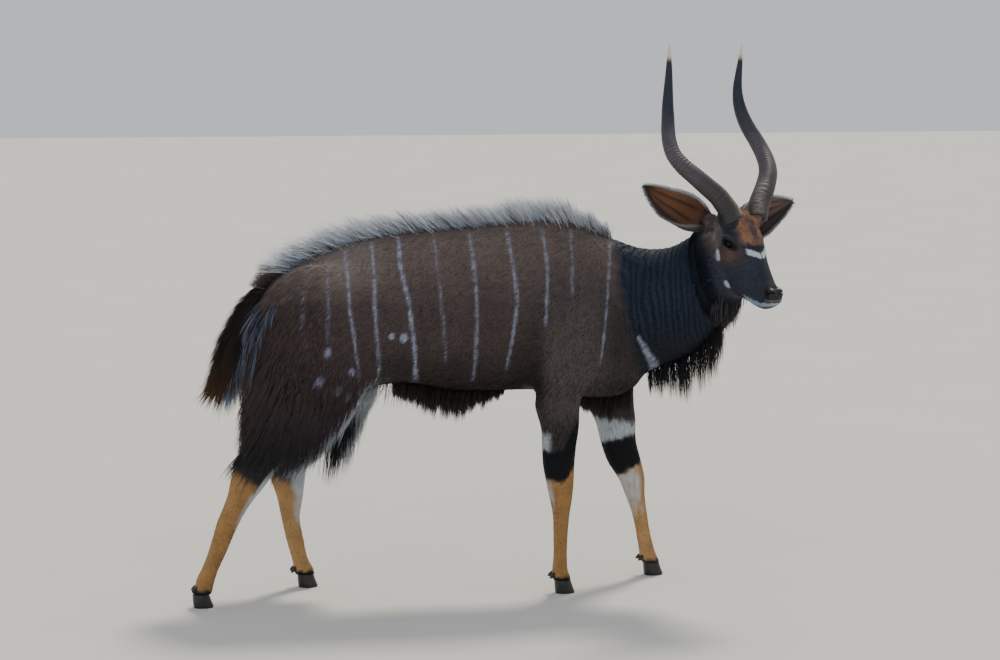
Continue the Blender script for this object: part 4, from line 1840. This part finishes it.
class NYALA_OT_hooves(bpy.types.Operator):
    """Cloven hooves and dewclaws, rounded from the solids"""

    bl_idname = "nyala.hooves"
    bl_label = "Hooves"

    def execute(self, context):
        finish = hoof_material()
        for name in sorted(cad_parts):
            if not name.startswith(("hoof_", "dewclaw_")):
                continue
            form = bmesh.new()
            form.from_mesh(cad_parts[name].data)
            bmesh.ops.remove_doubles(form, verts=form.verts, dist=1e-5)
            made = object_of(f"{name}_horn", form)
            voxel(made, 0.0016 if name.startswith("hoof_") else 0.0010)
            relax(made.data, 5)
            points = points_of(made.data)
            points[:, 2] = np.maximum(points[:, 2], 0.0)
            set_points(made.data, points)
            made.data.shade_smooth()
            dress(made, finish)
            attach(made, "root")
            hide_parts(name)
        return {"FINISHED"}


class NYALA_OT_stage(bpy.types.Operator):
    """Pale floor, soft light and the camera"""

    bl_idname = "nyala.stage"
    bl_label = "Stage"

    def execute(self, context):
        form = bmesh.new()
        bmesh.ops.create_grid(form, x_segments=1, y_segments=1, size=30.0)
        floor = object_of("floor", form, flat=True)
        # Matt painted floor: pale, with the faintest cloudiness.
        made, tree, shader = material("pale matt floor", Roughness=0.9)
        cloud = texture(tree, "Noise", 1000.0 / 1.5).outputs["Fac"]
        two_tones(tree, shader, cloud, (0.0, "#cfcdc6"), (1.0, "#d9d7d1"))
        dress(floor, made)
        world = bpy.data.worlds.new("soft studio")
        world.use_nodes = True
        sky = world.node_tree.nodes["Background"]
        sky.inputs["Color"].default_value = (*hex_linear("#dfe3e8"), 1)
        sky.inputs["Strength"].default_value = 0.85
        context.scene.world = world
        for name, way, spread, power, tint in (
            ("key", (-0.45, -0.75, -1.30), 12.0, 2.6, "#fff4e4"),
            ("fill", (0.50, 0.90, -0.35), 60.0, 0.5, "#e6eeff"),
        ):
            light = bpy.data.lights.new(name, "SUN")
            light.angle, light.energy, light.color = math.radians(spread), power, tuple(hex_linear(tint))
            lamp = bpy.data.objects.new(name, light)
            lamp.location = (0.0, 0.0, 4.0)
            lamp.rotation_euler = Vector(way).to_track_quat("-Z", "Y").to_euler()
            context.scene.collection.objects.link(lamp)
        turn, away, height, target = math.radians(10.0), 7.5, 1.65, np.array([0.0, 0.0, 0.76])
        fall = math.asin((height - target[2]) / away)
        back = np.array([-math.sin(turn) * math.cos(fall), -math.cos(turn) * math.cos(fall), math.sin(fall)])
        lens = bpy.data.cameras.new("camera")
        lens.lens, lens.sensor_width = 93.15, 36.0
        camera = bpy.data.objects.new("camera", lens)
        camera.location = Vector(target + back * away + SHIFT)
        camera.rotation_euler = Vector(-back).to_track_quat("-Z", "Y").to_euler()
        context.scene.collection.objects.link(camera)
        context.scene.camera = camera
        return {"FINISHED"}


STEPS = (
    NYALA_OT_body_skin,
    NYALA_OT_head_skin,
    NYALA_OT_coat,
    NYALA_OT_crest,
    NYALA_OT_fringes,
    NYALA_OT_shag,
    NYALA_OT_tail,
    NYALA_OT_ears,
    NYALA_OT_eyes,
    NYALA_OT_horns,
    NYALA_OT_hooves,
    NYALA_OT_stage,
)


class NYALA_PT_panel(bpy.types.Panel):
    """Lists the sizes, colours and steps"""

    bl_idname = "NYALA_PT_panel"
    bl_label = "Nyala bull"
    bl_space_type = "VIEW_3D"
    bl_region_type = "UI"
    bl_category = "Nyala"

    def draw(self, context):
        column = self.layout.column()
        for name in NyalaSettings.__annotations__:
            column.prop(context.scene.nyala, name)
        for step in STEPS:
            column.operator(step.bl_idname)


def register():
    for one in (NyalaSettings, *STEPS, NYALA_PT_panel):
        bpy.utils.register_class(one)
    bpy.types.Scene.nyala = PointerProperty(type=NyalaSettings)


def unregister():
    del bpy.types.Scene.nyala
    for one in reversed((NyalaSettings, *STEPS, NYALA_PT_panel)):
        bpy.utils.unregister_class(one)


def main():
    register()
    bpy.ops.nyala.body_skin()
    bpy.ops.nyala.head_skin()
    bpy.ops.nyala.coat()
    bpy.ops.nyala.crest()
    bpy.ops.nyala.fringes()
    bpy.ops.nyala.shag()
    bpy.ops.nyala.tail()
    bpy.ops.nyala.ears()
    bpy.ops.nyala.eyes()
    bpy.ops.nyala.horns()
    bpy.ops.nyala.hooves()
    bpy.ops.nyala.stage()


if __name__ == "__main__":
    main()
